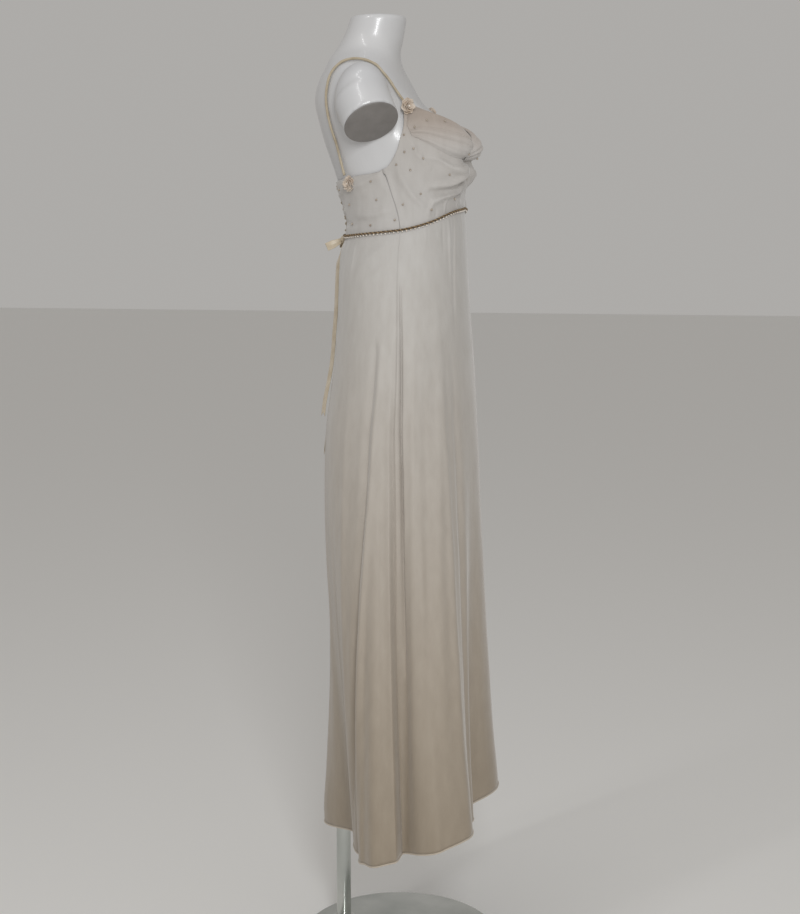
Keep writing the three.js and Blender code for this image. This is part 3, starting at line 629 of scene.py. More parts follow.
SKIRT_CLOTH = 0.9
SIDE_SEAM = 0.06               # ring degrees between a panel's edge and the seam's middle
EMPIRE_GAP = 0.3               # between the skirt's top and the bodice's foot
GIRTH = 3.0                    # millimetres of cloth to a ring degree, for laying out creases
UNEVEN = ((0.5, 150), (0.18, 46))   # heights and sizes of the cloth's soft unevenness
SKIRT_DEEPEST = 30             # millimetres that the skirt's creases may go in
ANGLE_SHARE = 0.6              # how far columns are spaced by hem angle, and not by fold
HEM_RADIUS, HEM_LIFT = 1.4, 0.6
SEAM_RADIUS = 0.7

# Creases of the skirt: ring angles and heights along each, its half width, its height, and a lap
# where one side is steeper.
FRONT_CREASES = [
    # short gathers under the braid
    ([(36, 1408), (35, 1372), (33, 1290)], 5, 2.0),
    ([(27, 1408), (28, 1330), (30, 1200)], 4, -2.2),
    ([(44, 1400), (43, 1366), (42, 1338)], 4.5, -1.2),
    ([(12, 1412), (12, 1380), (11, 1330)], 5, 1.3),
    ([(-8, 1414), (-9, 1375)], 4, -1.1),
    ([(-21, 1410), (-20, 1382), (-19, 1322)], 5, 1.5),
    ([(-38, 1403), (-37, 1372)], 4, 1.1),
    ([(-52, 1395), (-50, 1350)], 4.5, -1.0),
    ([(62, 1388), (61, 1352)], 4, 0.9),
    ([(-70, 1384), (-68, 1340)], 4, 0.9),
    # pull at the front over the hips and a step below it
    ([(-14, 1180), (2, 1156), (20, 1150)], 10, 1.6),
    ([(30, 1240), (44, 1196), (60, 1178)], 16, 1.2),
    # long soft folds
    ([(81.8, 1276), (80.3, 1130), (79.1, 1012), (78.6, 860), (78.4, 600)], 2.5, -9),
    ([(78.6, 800), (78.6, 560), (78.7, 300)], 10, -5),
    ([(83.6, 1330), (83.4, 1137), (82.4, 1012), (81.8, 820), (81.6, 620)], 4, 2.5),
    ([(50, 1240), (51, 1040), (56, 800), (58, 560), (57, 330)], 11, 3.2),
    ([(47, 1180), (47, 850), (48, 560), (48, 300)], 9, 4),
    ([(63, 1120), (63, 900), (66, 600), (68, 300)], 9, -2.6),
    ([(71, 1180), (72, 900), (73, 620), (73, 280)], 7, 2.4),
    ([(35, 1150), (33, 780), (31, 480), (30, 300)], 10, -5),
    ([(5, 760), (6, 560), (6, 320)], 8, 2.4),
    ([(-10, 980), (-9, 700), (-7, 320)], 9, 2.0),
    ([(-24, 1020), (-24, 700), (-22, 300)], 9, -2.4),
    ([(-42, 1100), (-40, 800), (-38, 300)], 9, 2.8),
    ([(-57, 1150), (-55, 820), (-53, 290)], 9, -2.6),
    ([(-74, 1180), (-73, 860), (-72, 280)], 8, 2.6),
    # crumples
    ([(49, 862), (53, 853), (57, 858)], 7, 1.6),
    ([(44, 640), (50, 622), (57, 628)], 9, 1.0),
    ([(-48, 742), (-43, 728), (-38, 735)], 8, 1.4),
    ([(8, 520), (14, 508), (20, 515)], 9, 1.2),
]

BACK_CREASES = [
    # drag lines under the braid at the side-back, on both sides
    ([(86, 1364), (95, 1345), (113, 1318), (124, 1308)], 8, 3.4),
    ([(90, 1338), (103, 1318), (118, 1296)], 7, -2.4),
    ([(274, 1364), (264, 1342), (248, 1314)], 7, 2.3),
    ([(268, 1330), (255, 1308), (240, 1290)], 6, -1.5),
    # gathers under the braid
    ([(128, 1362), (129, 1330), (131, 1290)], 4.5, 1.3),
    ([(146, 1364), (147, 1338)], 4, -1.1),
    ([(160, 1365), (161, 1320), (163, 1270)], 5, 1.5),
    ([(203, 1365), (202, 1330)], 4, 1.2),
    ([(217, 1363), (215, 1325), (212, 1280)], 5, -1.3),
    ([(234, 1364), (233, 1340)], 4, 1.1),
    # long soft folds
    ([(95, 1170), (97, 960), (102, 790), (110, 560), (117, 300)], 8, 6.5),
    ([(100, 1170), (104, 906), (113, 692), (127, 459), (134, 300)], 13, -10, 0.5),
    ([(90.5, 1100), (89.5, 800), (89, 520), (89, 260)], 7, -3),
    ([(122, 1080), (128, 800), (137, 500), (142, 250)], 10, 3.0),
    ([(140, 900), (147, 640), (151, 260)], 9, -2.6),
    ([(165, 1000), (167, 700), (169, 250)], 10, 2.6),
    ([(178, 1200), (180, 900), (182, 600)], 9, -2.0),
    ([(193, 980), (192, 640), (190, 250)], 9, 2.4),
    ([(210, 900), (206, 560), (203, 250)], 8, -2.2),
    ([(226, 1060), (221, 740), (216, 260)], 9, 2.8),
    ([(243, 1120), (240, 800), (237, 260)], 8, -2.4),
    ([(257, 1160), (255, 820), (252, 260)], 8, 2.4),
    # crumples
    ([(150, 1180), (160, 1168), (172, 1174)], 9, 1.3),
    ([(192, 1130), (203, 1118), (214, 1126)], 9, 1.2),
    ([(96, 640), (101, 628), (106, 634)], 7, 1.1),
]


def creased(grid, angle, creases, seed, calm, deepest):
    """Grid moved along its normals by creases and a soft unevenness, each times calm, and nowhere
    deeper than so many millimetres."""
    across, up = angle * GIRTH, grid[..., 2]
    lift = sum(height * wander(across, up, size, seed + 2 * k)
               for k, (height, size) in enumerate(UNEVEN))
    for path, width, depth, *lap in creases:
        lift = lift + crease(across, up, [(a * GIRTH, z) for a, z in path], width, depth, *lap)
    lift = lift * calm
    below = -deepest * np.tanh(-lift / deepest)
    return grid + normals(grid) * np.where(lift < 0, below, lift)[..., None]


def rising(count, over, least=0.0, both=True):
    """Shares that rise to 1 over so many rows or columns from the last one, and from the first."""
    k = np.arange(count)[::-1]
    if both:
        k = np.minimum(k, k[::-1])
    return np.clip(least + k / over, 0, 1)


def column_angles(folds, u, z):
    """Ring angles at heights z of the panel's columns u, which count its fold rows."""
    low = np.clip(np.floor(u).astype(int), 0, len(folds["top"]) - 2)
    places = fold_angles(folds, z)

    def pick(rows):
        rows = np.broadcast_to(rows[:, None], (*places.shape[:-1], 1))
        return np.take_along_axis(places, rows, -1)[..., 0]

    return pick(low) + (pick(low + 1) - pick(low)) * (u - low)


def skirt_grid(folds, columns, rows):
    """Plain points of a skirt panel and the ring angle of each."""
    last = len(folds["top"]) - 1
    even_rows = np.linspace(0, last, columns)
    even_angles = np.interp(np.linspace(folds["hem"][0], folds["hem"][-1], columns), folds["hem"],
                            np.arange(last + 1))
    u = (1 - ANGLE_SHARE) * even_rows + ANGLE_SHARE * even_angles
    top_angle = column_angles(folds, u, np.full(columns, float(FOLD_TOP)))
    hem_angle = column_angles(folds, u, np.full(columns, float(HEM_FRONT)))
    top = line_height(EMPIRE_LINE, top_angle) - EMPIRE_GAP
    hem = hem_height(skirt_point(folds, hem_angle, np.full(columns, HEM_FRONT))[:, 1])
    v = np.linspace(0, 1, rows)[:, None]
    z = hem + (top - hem) * v
    angle = column_angles(folds, u, z)
    angle[:, 0] += SIDE_SEAM
    angle[:, -1] -= SIDE_SEAM
    return skirt_point(folds, angle, z), angle


def hem_roll(name, edge):
    """Narrow rolled hem along the bottom edge of a panel."""
    path = resampled(edge + [0, 0, HEM_LIFT], 420)
    return piece(name, *tube_mesh(path, HEM_RADIUS, 8), hem_cloth, "chiffon")


# The tails of the bow lie on a calm strip of the back panel.
TAIL_STRIP = 34                # half its width in millimetres
TAIL_FOOT, TAIL_FADE = 930, 18
TAIL_CALM = 0.9                # share of the creasing that is left out there


def tail_calm(angle, z):
    across = (angle - 180) * GIRTH / TAIL_STRIP
    upper = 1 / (1 + np.exp(-(z - TAIL_FOOT) / TAIL_FADE))
    return 1 - TAIL_CALM * np.exp(-across ** 4) * upper


def make_skirt():
    """Both panels as (cloth, grid, hem), and the seams that join them."""
    panels = {}
    for name, folds, creases, columns, seed in (
            ("skirt_front", FRONT_FOLDS, FRONT_CREASES, 340, 1.0),
            ("skirt_back", BACK_FOLDS, BACK_CREASES, 260, 4.0)):
        plain, angle = skirt_grid(folds, columns, 140)
        calm = rising(len(plain), 4, 0.15, both=False)[:, None] * rising(columns, 2)
        if name == "skirt_back":
            calm = calm * tail_calm(angle, plain[..., 2])
        grid = creased(plain, angle, creases, seed, calm, SKIRT_DEEPEST)
        cloth = shell(name + "_cloth", grid, SKIRT_CLOTH, chiffon, "chiffon")
        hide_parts(name)
        panels[name] = (cloth, grid, hem_roll(name + "_hem", grid[0]))
    front, back = panels["skirt_front"][1], panels["skirt_back"][1]
    for name, one, other in (("side_seam_right", front[:, -1], back[:, 0]),
                             ("side_seam_left", front[:, 0], back[:, -1])):
        path = resampled((one + other) / 2, 240)
        piece(name, *tube_mesh(path, SEAM_RADIUS, 8), chiffon, "chiffon")
    return panels


# ---- bodice

SEAM_TOP, SEAM_FOOT = 90.5, 85   # ring angles of the side seam and of the edge at the lacing
LACING_TOP, LACING_FOOT = 174, 176
BODICE_CLOTH = 1.0
CREASING = 2.5                 # how strongly the bodice is creased
DEEPEST = 1.8                  # millimetres that its creases may go in

BODICE_FRONT_CREASES = [
    # drawn from the gather at the centre front out under the cups
    ([(-4, 1498), (-24, 1476), (-37, 1470), (-56, 1468)], 4.5, 1.6),
    ([(-4, 1494), (-28, 1462), (-42, 1448), (-60, 1440)], 5, 1.4),
    ([(-2, 1488), (-20, 1452), (-36, 1432), (-52, 1424)], 5, -1.2),
    ([(4, 1498), (29, 1478), (39, 1482), (47, 1497), (60, 1503)], 6, 2.4),
    ([(4, 1494), (26, 1468), (37, 1455), (56, 1450)], 6, 3.0),
    ([(3, 1484), (24, 1443), (40, 1434), (53, 1424), (58, 1406)], 6, 3.2),
    ([(10, 1474), (24, 1454), (40, 1443), (58, 1438)], 5, -2.6),
    ([(-14, 1466), (-4, 1462), (10, 1461)], 4, 1.0),
    ([(-8, 1444), (6, 1438), (20, 1426)], 5, 1.1),
    # from the armholes down the sides
    ([(74, 1528), (72, 1492), (66, 1462), (56, 1440)], 12, -1.1),
    ([(82, 1496), (80, 1466), (72, 1436), (60, 1410)], 9, 1.7),
    ([(86, 1462), (84, 1430), (80, 1396)], 9, -1.0),
    ([(66, 1530), (64, 1506), (54, 1478)], 8, 1.3),
    ([(-74, 1524), (-71, 1488), (-64, 1458), (-54, 1438)], 12, -1.1),
    ([(-82, 1492), (-79, 1462), (-71, 1432), (-60, 1408)], 9, 1.6),
    ([(-86, 1458), (-83, 1428), (-79, 1396)], 9, -1.0),
    ([(-66, 1526), (-63, 1502), (-53, 1476)], 8, 1.3),
    # gathers on the empire seam
    ([(40, 1404), (39, 1420), (36, 1436)], 3, 0.9),
    ([(51, 1396), (50, 1412)], 3, -0.8),
    ([(22, 1410), (21, 1428)], 3, 0.8),
    ([(-18, 1411), (-17, 1430)], 3, 0.9),
    ([(-35, 1405), (-33, 1424)], 3, -0.8),
    ([(-50, 1397), (-49, 1414)], 3, 0.8),
]

BODICE_BACK_CREASES = [
    ([(92, 1474), (112, 1456), (134, 1446)], 7, 1.5),
    ([(90, 1444), (110, 1426), (134, 1418)], 9, -1.3),
    ([(88, 1412), (108, 1402), (130, 1400)], 7, 1.5),
    ([(132, 1466), (142, 1448), (158, 1436), (172, 1432)], 5, 1.1),
    ([(120, 1392), (140, 1384), (160, 1388)], 5, -0.9),
    ([(150, 1458), (160, 1446), (172, 1444)], 4, 0.8),
    ([(148, 1412), (160, 1406), (173, 1408)], 5, 0.9),
]


def bodice_grid(from_foot, from_top, to_foot, to_top, columns, rows):
    """Plain points of a bodice panel between two edges, and the ring angle of each."""
    u = np.linspace(0, 1, columns)
    v = np.linspace(0, 1, rows)[:, None]
    foot_angle = from_foot + (to_foot - from_foot) * u
    top_angle = from_top + (to_top - from_top) * u
    angle = foot_angle + (top_angle - foot_angle) * v
    foot = line_height(EMPIRE_LINE, foot_angle) + EMPIRE_GAP / 2
    top = line_height(TOP_EDGE, top_angle)
    return body_point(BODICE, angle, foot + (top - foot) * v), angle


def mirrored_creases(creases):
    """The creases of the other side, a little shifted and softer."""
    return [([(360 - a + 1.5, z - 4) for a, z in path], width * 1.1, depth * 0.85)
            for path, width, depth in creases]


# Panels of the bodice: ring angles of the first edge and of the last, each at foot and top, the
# counts of columns and rows, the creases and their seed.
BODICE_PANELS = {
    "bodice_front": (-SEAM_FOOT + SIDE_SEAM, -SEAM_TOP + SIDE_SEAM,
                     SEAM_FOOT - SIDE_SEAM, SEAM_TOP - SIDE_SEAM, 220, 100,
                     BODICE_FRONT_CREASES, 2.0),
    "bodice_back_right": (SEAM_FOOT + SIDE_SEAM, SEAM_TOP + SIDE_SEAM,
                          LACING_FOOT, LACING_TOP, 100, 56, BODICE_BACK_CREASES, 5.0),
    "bodice_back_left": (360 - LACING_FOOT, 360 - LACING_TOP,
                         360 - SEAM_FOOT - SIDE_SEAM, 360 - SEAM_TOP - SIDE_SEAM, 100, 56,
                         mirrored_creases(BODICE_BACK_CREASES), 6.0),
}


def make_bodice():
    """Its panels as (cloth, grid)."""
    panels = {}
    for name, (*edges, creases, seed) in BODICE_PANELS.items():
        plain, angle = bodice_grid(*edges)
        rows, columns = angle.shape
        calm = CREASING * rising(rows, 3)[:, None] * rising(columns, 4)
        grid = creased(plain, angle, creases, seed, calm, DEEPEST)
        cloth = shell(name + "_cloth", grid, BODICE_CLOTH, bodice_cloth, "bodice_cloth")
        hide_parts(name)
        panels[name] = (cloth, grid)
    return panels


# Bust drape: its lower and upper edges by ring angle, how far it swells out between them, and how
# far its edges stand off the bodice.
DRAPE = table("t angle low high out stand", [
    (0, 0.8, 1499, 1517, 16, 1.6),
    (0.14, 9, 1499, 1526, 12.5, 1.6),
    (0.28, 18, 1500, 1547, 11, 1.8),
    (0.42, 27, 1500, 1568, 9, 2),
    (0.56, 35, 1503, 1579, 7, 2),
    (0.7, 43, 1511, 1583, 5, 1.5),
    (0.84, 52, 1524, 1576, 3, 1.2),
    (1, 64, 1538, 1554, 1.5, 0.45),
])
DRAPE_CLOTH = 0.5
SEWN_GAP = 0.1                 # between bodice and drape along the drape's edges
DRAPE_WALL = 1.2               # from a loose edge's inner face to the drape's outer face

# Pleats of the drape: places across its width (0 lower edge, 1 upper edge) at the gather and at the
# armhole, half width as a share of it, and height in millimetres.
DRAPE_PLEATS = [
    (0.05, 0.08, 0.05, 0.9),
    (0.17, 0.20, 0.06, 1.5),
    (0.30, 0.30, 0.035, -0.9),
    (0.42, 0.38, 0.07, 2.2),
    (0.54, 0.50, 0.03, -1.3),
    (0.62, 0.68, 0.07, 0.9),
    (0.78, 0.84, 0.05, -0.4),
    (0.90, 0.93, 0.05, 0.8),
]

DRAPE_UNEVEN = 8               # millimetres that the right drape's upper edge lies above the left's


def smooth_rise(value, width):
    """0 at 0, 1 from width on, with a soft start and end."""
    t = np.clip(value / width, 0, 1)
    return t * t * (3 - 2 * t)


def drape_grid(sign, bodice_tree, columns=130, rows=80):
    """Points of a bust drape, from its lower to its upper edge. Its edges lie on the bodice."""
    u = np.linspace(0.004, 0.996, columns)
    v = np.linspace(0, 1, rows)[:, None]
    t = u if sign > 0 else 1 - u
    low, high, out, stand = (along(DRAPE, name, t) for name in ("low", "high", "out", "stand"))
    high = high + sign * DRAPE_UNEVEN / 2 * np.sin(np.pi * t) ** 0.5
    z = low + (high - low) * v
    angle = np.broadcast_to(sign * along(DRAPE, "angle", t), z.shape)
    grid = np.array([[land(bodice_tree, a, h)[0] for a, h in zip(*row)] for row in zip(angle, z)])
    loose = smooth_rise(v, 0.1) * smooth_rise(1 - v, 0.08) * smooth_rise(1 - t, 0.07)
    sewn_off = DRAPE_CLOTH + SEWN_GAP
    off = sewn_off + (DRAPE_WALL + stand - sewn_off) * loose
    grid = grid + outward(BODICE, angle, z) * off[..., None]
    grid[..., 1] -= out * np.sin(np.pi * (0.04 + 0.945 * v)) ** 0.8 * loose
    lift = np.zeros(grid.shape[:2])
    shift = 0.0 if sign > 0 else 0.03
    fade = 0.3 + 0.7 * np.sin(np.pi * np.clip(0.1 + 0.78 * t, 0, 1))
    for near, far, width, height in DRAPE_PLEATS:
        place = near + (far - near) * t + shift * np.sin(5 * t)
        lift = lift + height * fade * np.exp(-((v - place) / width) ** 2)
    margin = np.clip(np.minimum(v, 1 - v) / 0.06, 0, 1)
    return grid + normals(grid) * (lift * margin)[..., None]


def make_drapes(bodice_tree):
    drapes = {}
    for name, sign in (("bust_drape_right", 1), ("bust_drape_left", -1)):
        grid = drape_grid(sign, bodice_tree)
        cloth = shell(name + "_cloth", grid, DRAPE_CLOTH, drape_cloth, "chiffon")
        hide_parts(name)
        drapes[name] = (cloth, grid)
    return drapes


# ---- trims

RAY_START = 60                 # outside the bodice's rings


def landing_tree(grids):
    """Search tree over cloth grids, in millimetres."""
    points, faces = joined([(g.reshape(-1, 3), grid_faces(*g.shape[:2])) for g in grids])
    return BVHTree.FromPolygons([tuple(p) for p in points], faces)


def land(tree, angle, z):
    """Point and outward direction where a level line towards the middle first meets the cloth."""
    out = outward(BODICE, angle, z)
    start = body_point(BODICE, angle, z) + out * RAY_START
    place, normal, _, _ = tree.ray_cast(Vector(start), Vector(-out))
    if place is None:
        return body_point(BODICE, angle, z), out
    normal = np.array(normal)
    return np.array(place), normal if normal @ out > 0 else -normal


PEARL_RADIUS = 2.1
PEARL_SEAT = 0.6               # share of its radius that a pearl's middle stands off the cloth
# Pearls by ring angle and height.
PEARLS_RIGHT = [
    (44, 1564), (32, 1563), (58, 1552), (70, 1539), (66, 1516), (74, 1510), (60, 1499), (82, 1488),
    (72, 1479), (41, 1472), (9, 1472), (64, 1438), (81, 1420), (56, 1411), (22, 1508), (26, 1430),
]
PEARLS_LEFT = [
    (-43, 1562), (-30, 1560), (-56, 1549), (-68, 1536), (-64, 1519), (-75, 1506), (-58, 1497),
    (-80, 1484), (-70, 1476), (-39, 1470), (-12, 1468), (-62, 1441), (-79, 1424), (-54, 1408),
    (-20, 1505), (-28, 1428),
]
PEARLS_BACK = [
    (103, 1460), (102, 1428), (89, 1393), (112, 1384), (124, 1448), (138, 1420), (150, 1446),
    (162, 1396), (140, 1386), (205, 1394), (222, 1442), (212, 1418), (234, 1452), (246, 1400),
    (258, 1462), (262, 1424), (236, 1384), (270, 1390),
]


def make_pearls(tree):
    parts = []
    for angle, z in PEARLS_RIGHT + PEARLS_LEFT + PEARLS_BACK:
        place, out = land(tree, angle, z)
        parts.append(ball_mesh(place + out * PEARL_SEAT * PEARL_RADIUS, PEARL_RADIUS, 8, 12))
    piece("pearls", *joined(parts), bead_painted_shade, "braid")


BRAID_OFF = 2.6                # from the bodice's rings to the middle of the braid
BRAID_STRAND = 1.0             # radius of each of its two strands
BRAID_SWING = 1.15             # from the braid's middle to a strand's middle
BRAID_TWIST = 8.5              # length of a full turn of the two strands
BEAD_RADIUS, BEAD_PITCH = 1.6, 7.5
BEAD_OFF, BEAD_DROP = 2.4, 3.3


def empire_path(off, drop=0.0):
    """Points along the empire seam, moved out and down."""
    angle = np.linspace(-LACING_FOOT, LACING_FOOT, 400)
    z = line_height(EMPIRE_LINE, angle)
    path = body_point(BODICE, angle, z) + outward(BODICE, angle, z) * off
    path[:, 2] -= drop
    return path


def make_braid():
    path = resampled(empire_path(BRAID_OFF), 1100)
    length = np.linalg.norm(np.diff(path, axis=0), axis=1).sum()
    turn = np.linspace(0, 2 * np.pi * length / BRAID_TWIST, len(path))
    side, up = frames(path)
    for phase, material in ((0, braid_dark), (np.pi, braid_gold)):
        swing = side * np.cos(turn + phase)[:, None] + up * np.sin(turn + phase)[:, None]
        strand = piece(material.name, *tube_mesh(path + swing * BRAID_SWING, BRAID_STRAND, 6),
                       material, "braid")
        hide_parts("empire_braid")
    row = resampled(empire_path(BEAD_OFF, BEAD_DROP), int(length / BEAD_PITCH))[1:-1]
    beads = [ball_mesh(place, BEAD_RADIUS * (1 + 0.12 * math.sin(k * GOLDEN_TURN)), 6, 8)
             for k, place in enumerate(row)]
    piece("braid_beads", *joined(beads), pearl, "braid")


# Middle of the left strap, from the front rosette over the shoulder to the back rosette.
STRAP_ROUTE = [
    (123.2, -33, 1591), (118.5, -22, 1604.5), (115.5, -10.5, 1620), (116.5, -2.5, 1632.5),
    (119, 6, 1643), (121, 22, 1660), (122, 52, 1670), (123.5, 79.5, 1665.5), (122.5, 99.5, 1647.5),
    (120.5, 108, 1623.5), (115.5, 111, 1598), (110.5, 105.5, 1560), (106, 95, 1525),
    (102.5, 84.5, 1482), (103, 81.5, 1471),
]
ROULEAU_RADIUS = 2.3


def make_straps():
    for name, side in (("strap_right", -1), ("strap_left", 1)):
        route = smooth_path([(side * x, y, z) for x, y, z in STRAP_ROUTE], 200)
        k = np.arange(len(route))
        uneven = 1 + 0.05 * np.sin(k * 0.55) + 0.03 * np.sin(k * 0.23 + 1)
        rouleau = piece(name + "_rouleau", *tube_mesh(route, ROULEAU_RADIUS * uneven, 12),
                        rouleau_satin, "ribbon")
        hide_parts(name)


# Rounds of a ribbon rosette: inner and outer radius, heights of both edges over the cloth, number
# of waves, their height and where they start.
ROSETTE_ROUNDS = [
    (4.0, 14.0, 0.8, 1.4, 7, 1.5, 0.0),
    (3.4, 12.0, 2.0, 4.6, 6, 1.8, 0.9),
    (2.6, 9.0, 2.6, 7.2, 5, 1.6, 2.1),
    (1.9, 5.6, 3.0, 8.6, 3, 1.0, 0.4),
]


def ruffled_round(inner, outer, low, high, waves, height, start):
    """Points and faces of one gathered round of ribbon, facing +Z."""
    turn = np.linspace(0, 2 * np.pi, 72, endpoint=False)
    share = np.linspace(0, 1, 9)[:, None]
    wave = np.sin(waves * turn + start) + 0.35 * np.sin(2 * waves * turn + 2.1 * start)
    radius = inner + (outer - inner) * share * (1 + 0.07 * np.sin(waves * turn + start + 1.3))
    z = low + (high - low) * share ** 1.3 + height * wave * share
    grid = np.stack([radius * np.cos(turn), radius * np.sin(turn),
                     np.maximum(np.broadcast_to(z, radius.shape), 0.4)], -1)
    points = grid.reshape(-1, 3)
    return points, grid_faces(len(share), len(turn), closed=True)


def facing(out):
    """Rows of a rotation that takes +Z to out."""
    side = np.cross((0, 0, 1.0), out)
    side /= np.linalg.norm(side)
    return np.array([side, np.cross(out, side), out])


# Ring angle and height of the rosettes, how far each stands out and how far it is turned.
FLOWERS = {"front": (51, 1588, 6.1, 0), "back": (128, 1456, 1.5, 1.1)}
PETAL_CLOTH = 0.5
HEART_RADIUS, HEART_OFF = 2.4, 4.6


def make_flowers():
    for side, sign in (("right", 1), ("left", -1)):
        for place, (angle, z, lift, spin) in FLOWERS.items():
            out = outward(BODICE, sign * angle, z)
            centre = body_point(BODICE, sign * angle, z) + out * lift
            points, faces = joined([ruffled_round(*row, start + 0.7 * sign + spin)
                                    for *row, start in ROSETTE_ROUNDS])
            flower = piece(f"rosette_{place}_{side}", points @ facing(out) + centre, faces,
                           petal_satin, "ribbon")
            thicken(flower, PETAL_CLOTH)
            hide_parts(f"flower_{place}_{side}")
            heart = ball_mesh(centre + out * HEART_OFF, HEART_RADIUS, 8, 12)
            piece(f"rosette_heart_{place}_{side}", *heart, pearl, "braid")


# ---- centre-back closing

LOOPS = 6                      # on each edge
TAPE_WIDTH = 3.2               # in ring degrees
TAPE_OFF, TAPE_CLOTH = 1.2, 0.8
LOOP_REACH, LOOP_SEAT = 1.95, 0.6   # ring degrees, past the edge and inside it
LOOP_OFF, LOOP_RADIUS = 1.6, 1.2
TAPE_INSETS = 5, 2             # from the seam to the tape's foot, and from its head to the top edge
LACE_RADIUS, LACE_OFF = 1.2, 3.3
LACE_INSETS = 3, 6             # from the tape's foot and from its head
LACE_SWING = 5.12              # ring degrees from the centre back to each turn of the lace


def make_closing():
    """Tape with loops along both back edges, and the lace that zigzags between them."""
    low = line_height(EMPIRE_LINE, 180) + TAPE_INSETS[0]
    high = line_height(TOP_EDGE, 180) - TAPE_INSETS[1]
    for name, sign in (("right", 1), ("left", -1)):
        foot, top = (180 - sign * (180 - edge) for edge in (LACING_FOOT, LACING_TOP))
        v = np.linspace(0.01, 0.99, 60)[:, None]
        u = np.linspace(-1, 0, 8) if sign > 0 else np.linspace(0, 1, 8)
        angle = foot + (top - foot) * v + TAPE_WIDTH * u
        grid = body_point(BODICE, angle, low + (high - low) * v)
        tape = shell(f"tape_{name}", grid + normals(grid) * TAPE_OFF, TAPE_CLOTH, ribbon_satin,
                     "ribbon")
        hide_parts(f"loop_tape_{name}")
        loops = []
        for k in range(LOOPS):
            t = np.linspace(-1, 1, 17)
            share = (k + 0.5 + 0.42 * t) / LOOPS
            reach = LOOP_REACH * np.cos(t * np.pi / 2) ** 0.7 - LOOP_SEAT
            path = body_point(BODICE, foot + (top - foot) * share + sign * reach,
                              low + (high - low) * share)
            path[:, 1] += LOOP_OFF
            loops.append(tube_mesh(path, LOOP_RADIUS, 8))
        piece(f"loops_{name}", *joined(loops), braid_gold, "ribbon")
    turns = np.arange(2 * LOOPS + 1)
    z = np.linspace(high - LACE_INSETS[1], low + LACE_INSETS[0], len(turns))
    route = body_point(BODICE, 180 + np.where(turns % 2 == 1, LACE_SWING, -LACE_SWING), z)
    route[:, 1] += LACE_OFF
    cord = piece("lacing", *tube_mesh(smooth_path(route, 260), LACE_RADIUS, 10), rouleau_satin,
                 "ribbon")
    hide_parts("lace")


# ---- bow

RIBBON_WIDTH = 15
RIBBON_CLOTH = 0.7
KNOT_CENTRE = np.array([-3, 104.4, 1358])
KNOT_RADII = np.array([7.84, 5.88, 6.86])
# Each loop: where it leaves the knot, which way it points, its length and its thickness.
BOW_LOOPS = {
    "right": ((-6.8, 109.4, 1355.2), (-0.28, 0.87, -0.41), 29, 9),
    "left": ((4.3, 106.9, 1356.4), (0.9, 0.36, -0.24), 32, 9),
}
LOOP_INSET = 0.6               # between a loop's ribbon and the full length and thickness
LOOP_PINCH = 0.62              # share of the ribbon's width left at the knot
# Each tail: its middle, its low end, how far that end stands off, and how far its left-hand edge
# turns out from the skirt.
BOW_TAILS = {"right": (-13, 1030, 5, 9), "left": (8, 955, 5, 1.5)}
TAIL_TOP = 1349.5
TAIL_NOTCH = 7                 # depth of the notch in the low end
TAIL_OFF = 2.1                 # from the skirt to the tail's outer face at the knot


def make_knot():
    points, faces = ball_mesh(np.zeros(3), 1.0, 18, 30)
    x, y, z = points.T
    swell = 1 + 0.035 * np.sin(15 * x + 1) + 0.03 * np.sin(3 * np.arctan2(z, y) + 4 * x)
    knot = piece("knot", points * swell[:, None] * KNOT_RADII + KNOT_CENTRE, faces, ribbon_satin,
                 "ribbon")
    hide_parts("bow_knot")


def make_loop(side):
    """Ribbon loop, pinched where it enters the knot."""
    root, lead, length, thickness = BOW_LOOPS[side]
    lead = np.array(lead) / np.linalg.norm(lead)
    aside = np.cross((0, 0, 1.0), lead)
    aside /= np.linalg.norm(aside)
    turn = np.linspace(0, 2 * np.pi, 49)
    width = np.linspace(-0.5, 0.5, 13)[:, None]
    pinch = LOOP_PINCH + (1 - LOOP_PINCH) * np.clip((1 - np.cos(turn)) / 1.1, 0, 1)
    x = (length / 2 - LOOP_INSET) * (1 - np.cos(turn)) + 0.5
    y = (thickness / 2 - LOOP_INSET) * np.sin(turn) * (1 + 0.12 * np.cos(width * 7))
    z = width * (RIBBON_WIDTH - 0.4) * pinch
    grid = (np.array(root) + np.broadcast_to(x, y.shape)[..., None] * lead + y[..., None] * aside
            + z[..., None] * np.cross(lead, aside))
    made = shell(f"ribbon_loop_{side}", grid[::-1], RIBBON_CLOTH, ribbon_satin, "ribbon")
    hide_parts(f"bow_loop_{side}")


def make_tail(side):
    """Ribbon tail down the back of the skirt, notched at its end."""
    middle, low, stand, turned = BOW_TAILS[side]
    u = np.linspace(0, 1, 13)
    v = np.linspace(0, 1, 90)[:, None]
    drop = 1 - v
    turned_out = turned * np.clip(drop * 9, 0, 1)   # within the first ninth of its length
    x = middle + (u - 0.5) * np.sqrt(RIBBON_WIDTH ** 2 - turned_out ** 2)
    x = x + 4.8 * np.sin(v * 11 + middle) * drop * v
    foot = low + TAIL_NOTCH * (1 - np.abs(2 * u - 1))
    z = foot + (TAIL_TOP - foot) * v
    grid = skirt_point(BACK_FOLDS, 180 + np.degrees(np.arcsin(x / along(SKIRT, "half", z))), z)
    wave = 1.1 * np.sin(v * 17 + middle) * drop
    cup = 0.5 * np.cos((u - 0.5) * np.pi * 1.4)
    grid[..., 1] += TAIL_OFF + stand * drop ** 2 + wave + cup + 0.9 * drop + turned_out * u
    made = shell(f"ribbon_tail_{side}", grid, RIBBON_CLOTH, ribbon_satin, "ribbon")
    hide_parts(f"bow_tail_{side}")
    return made


# ---- form

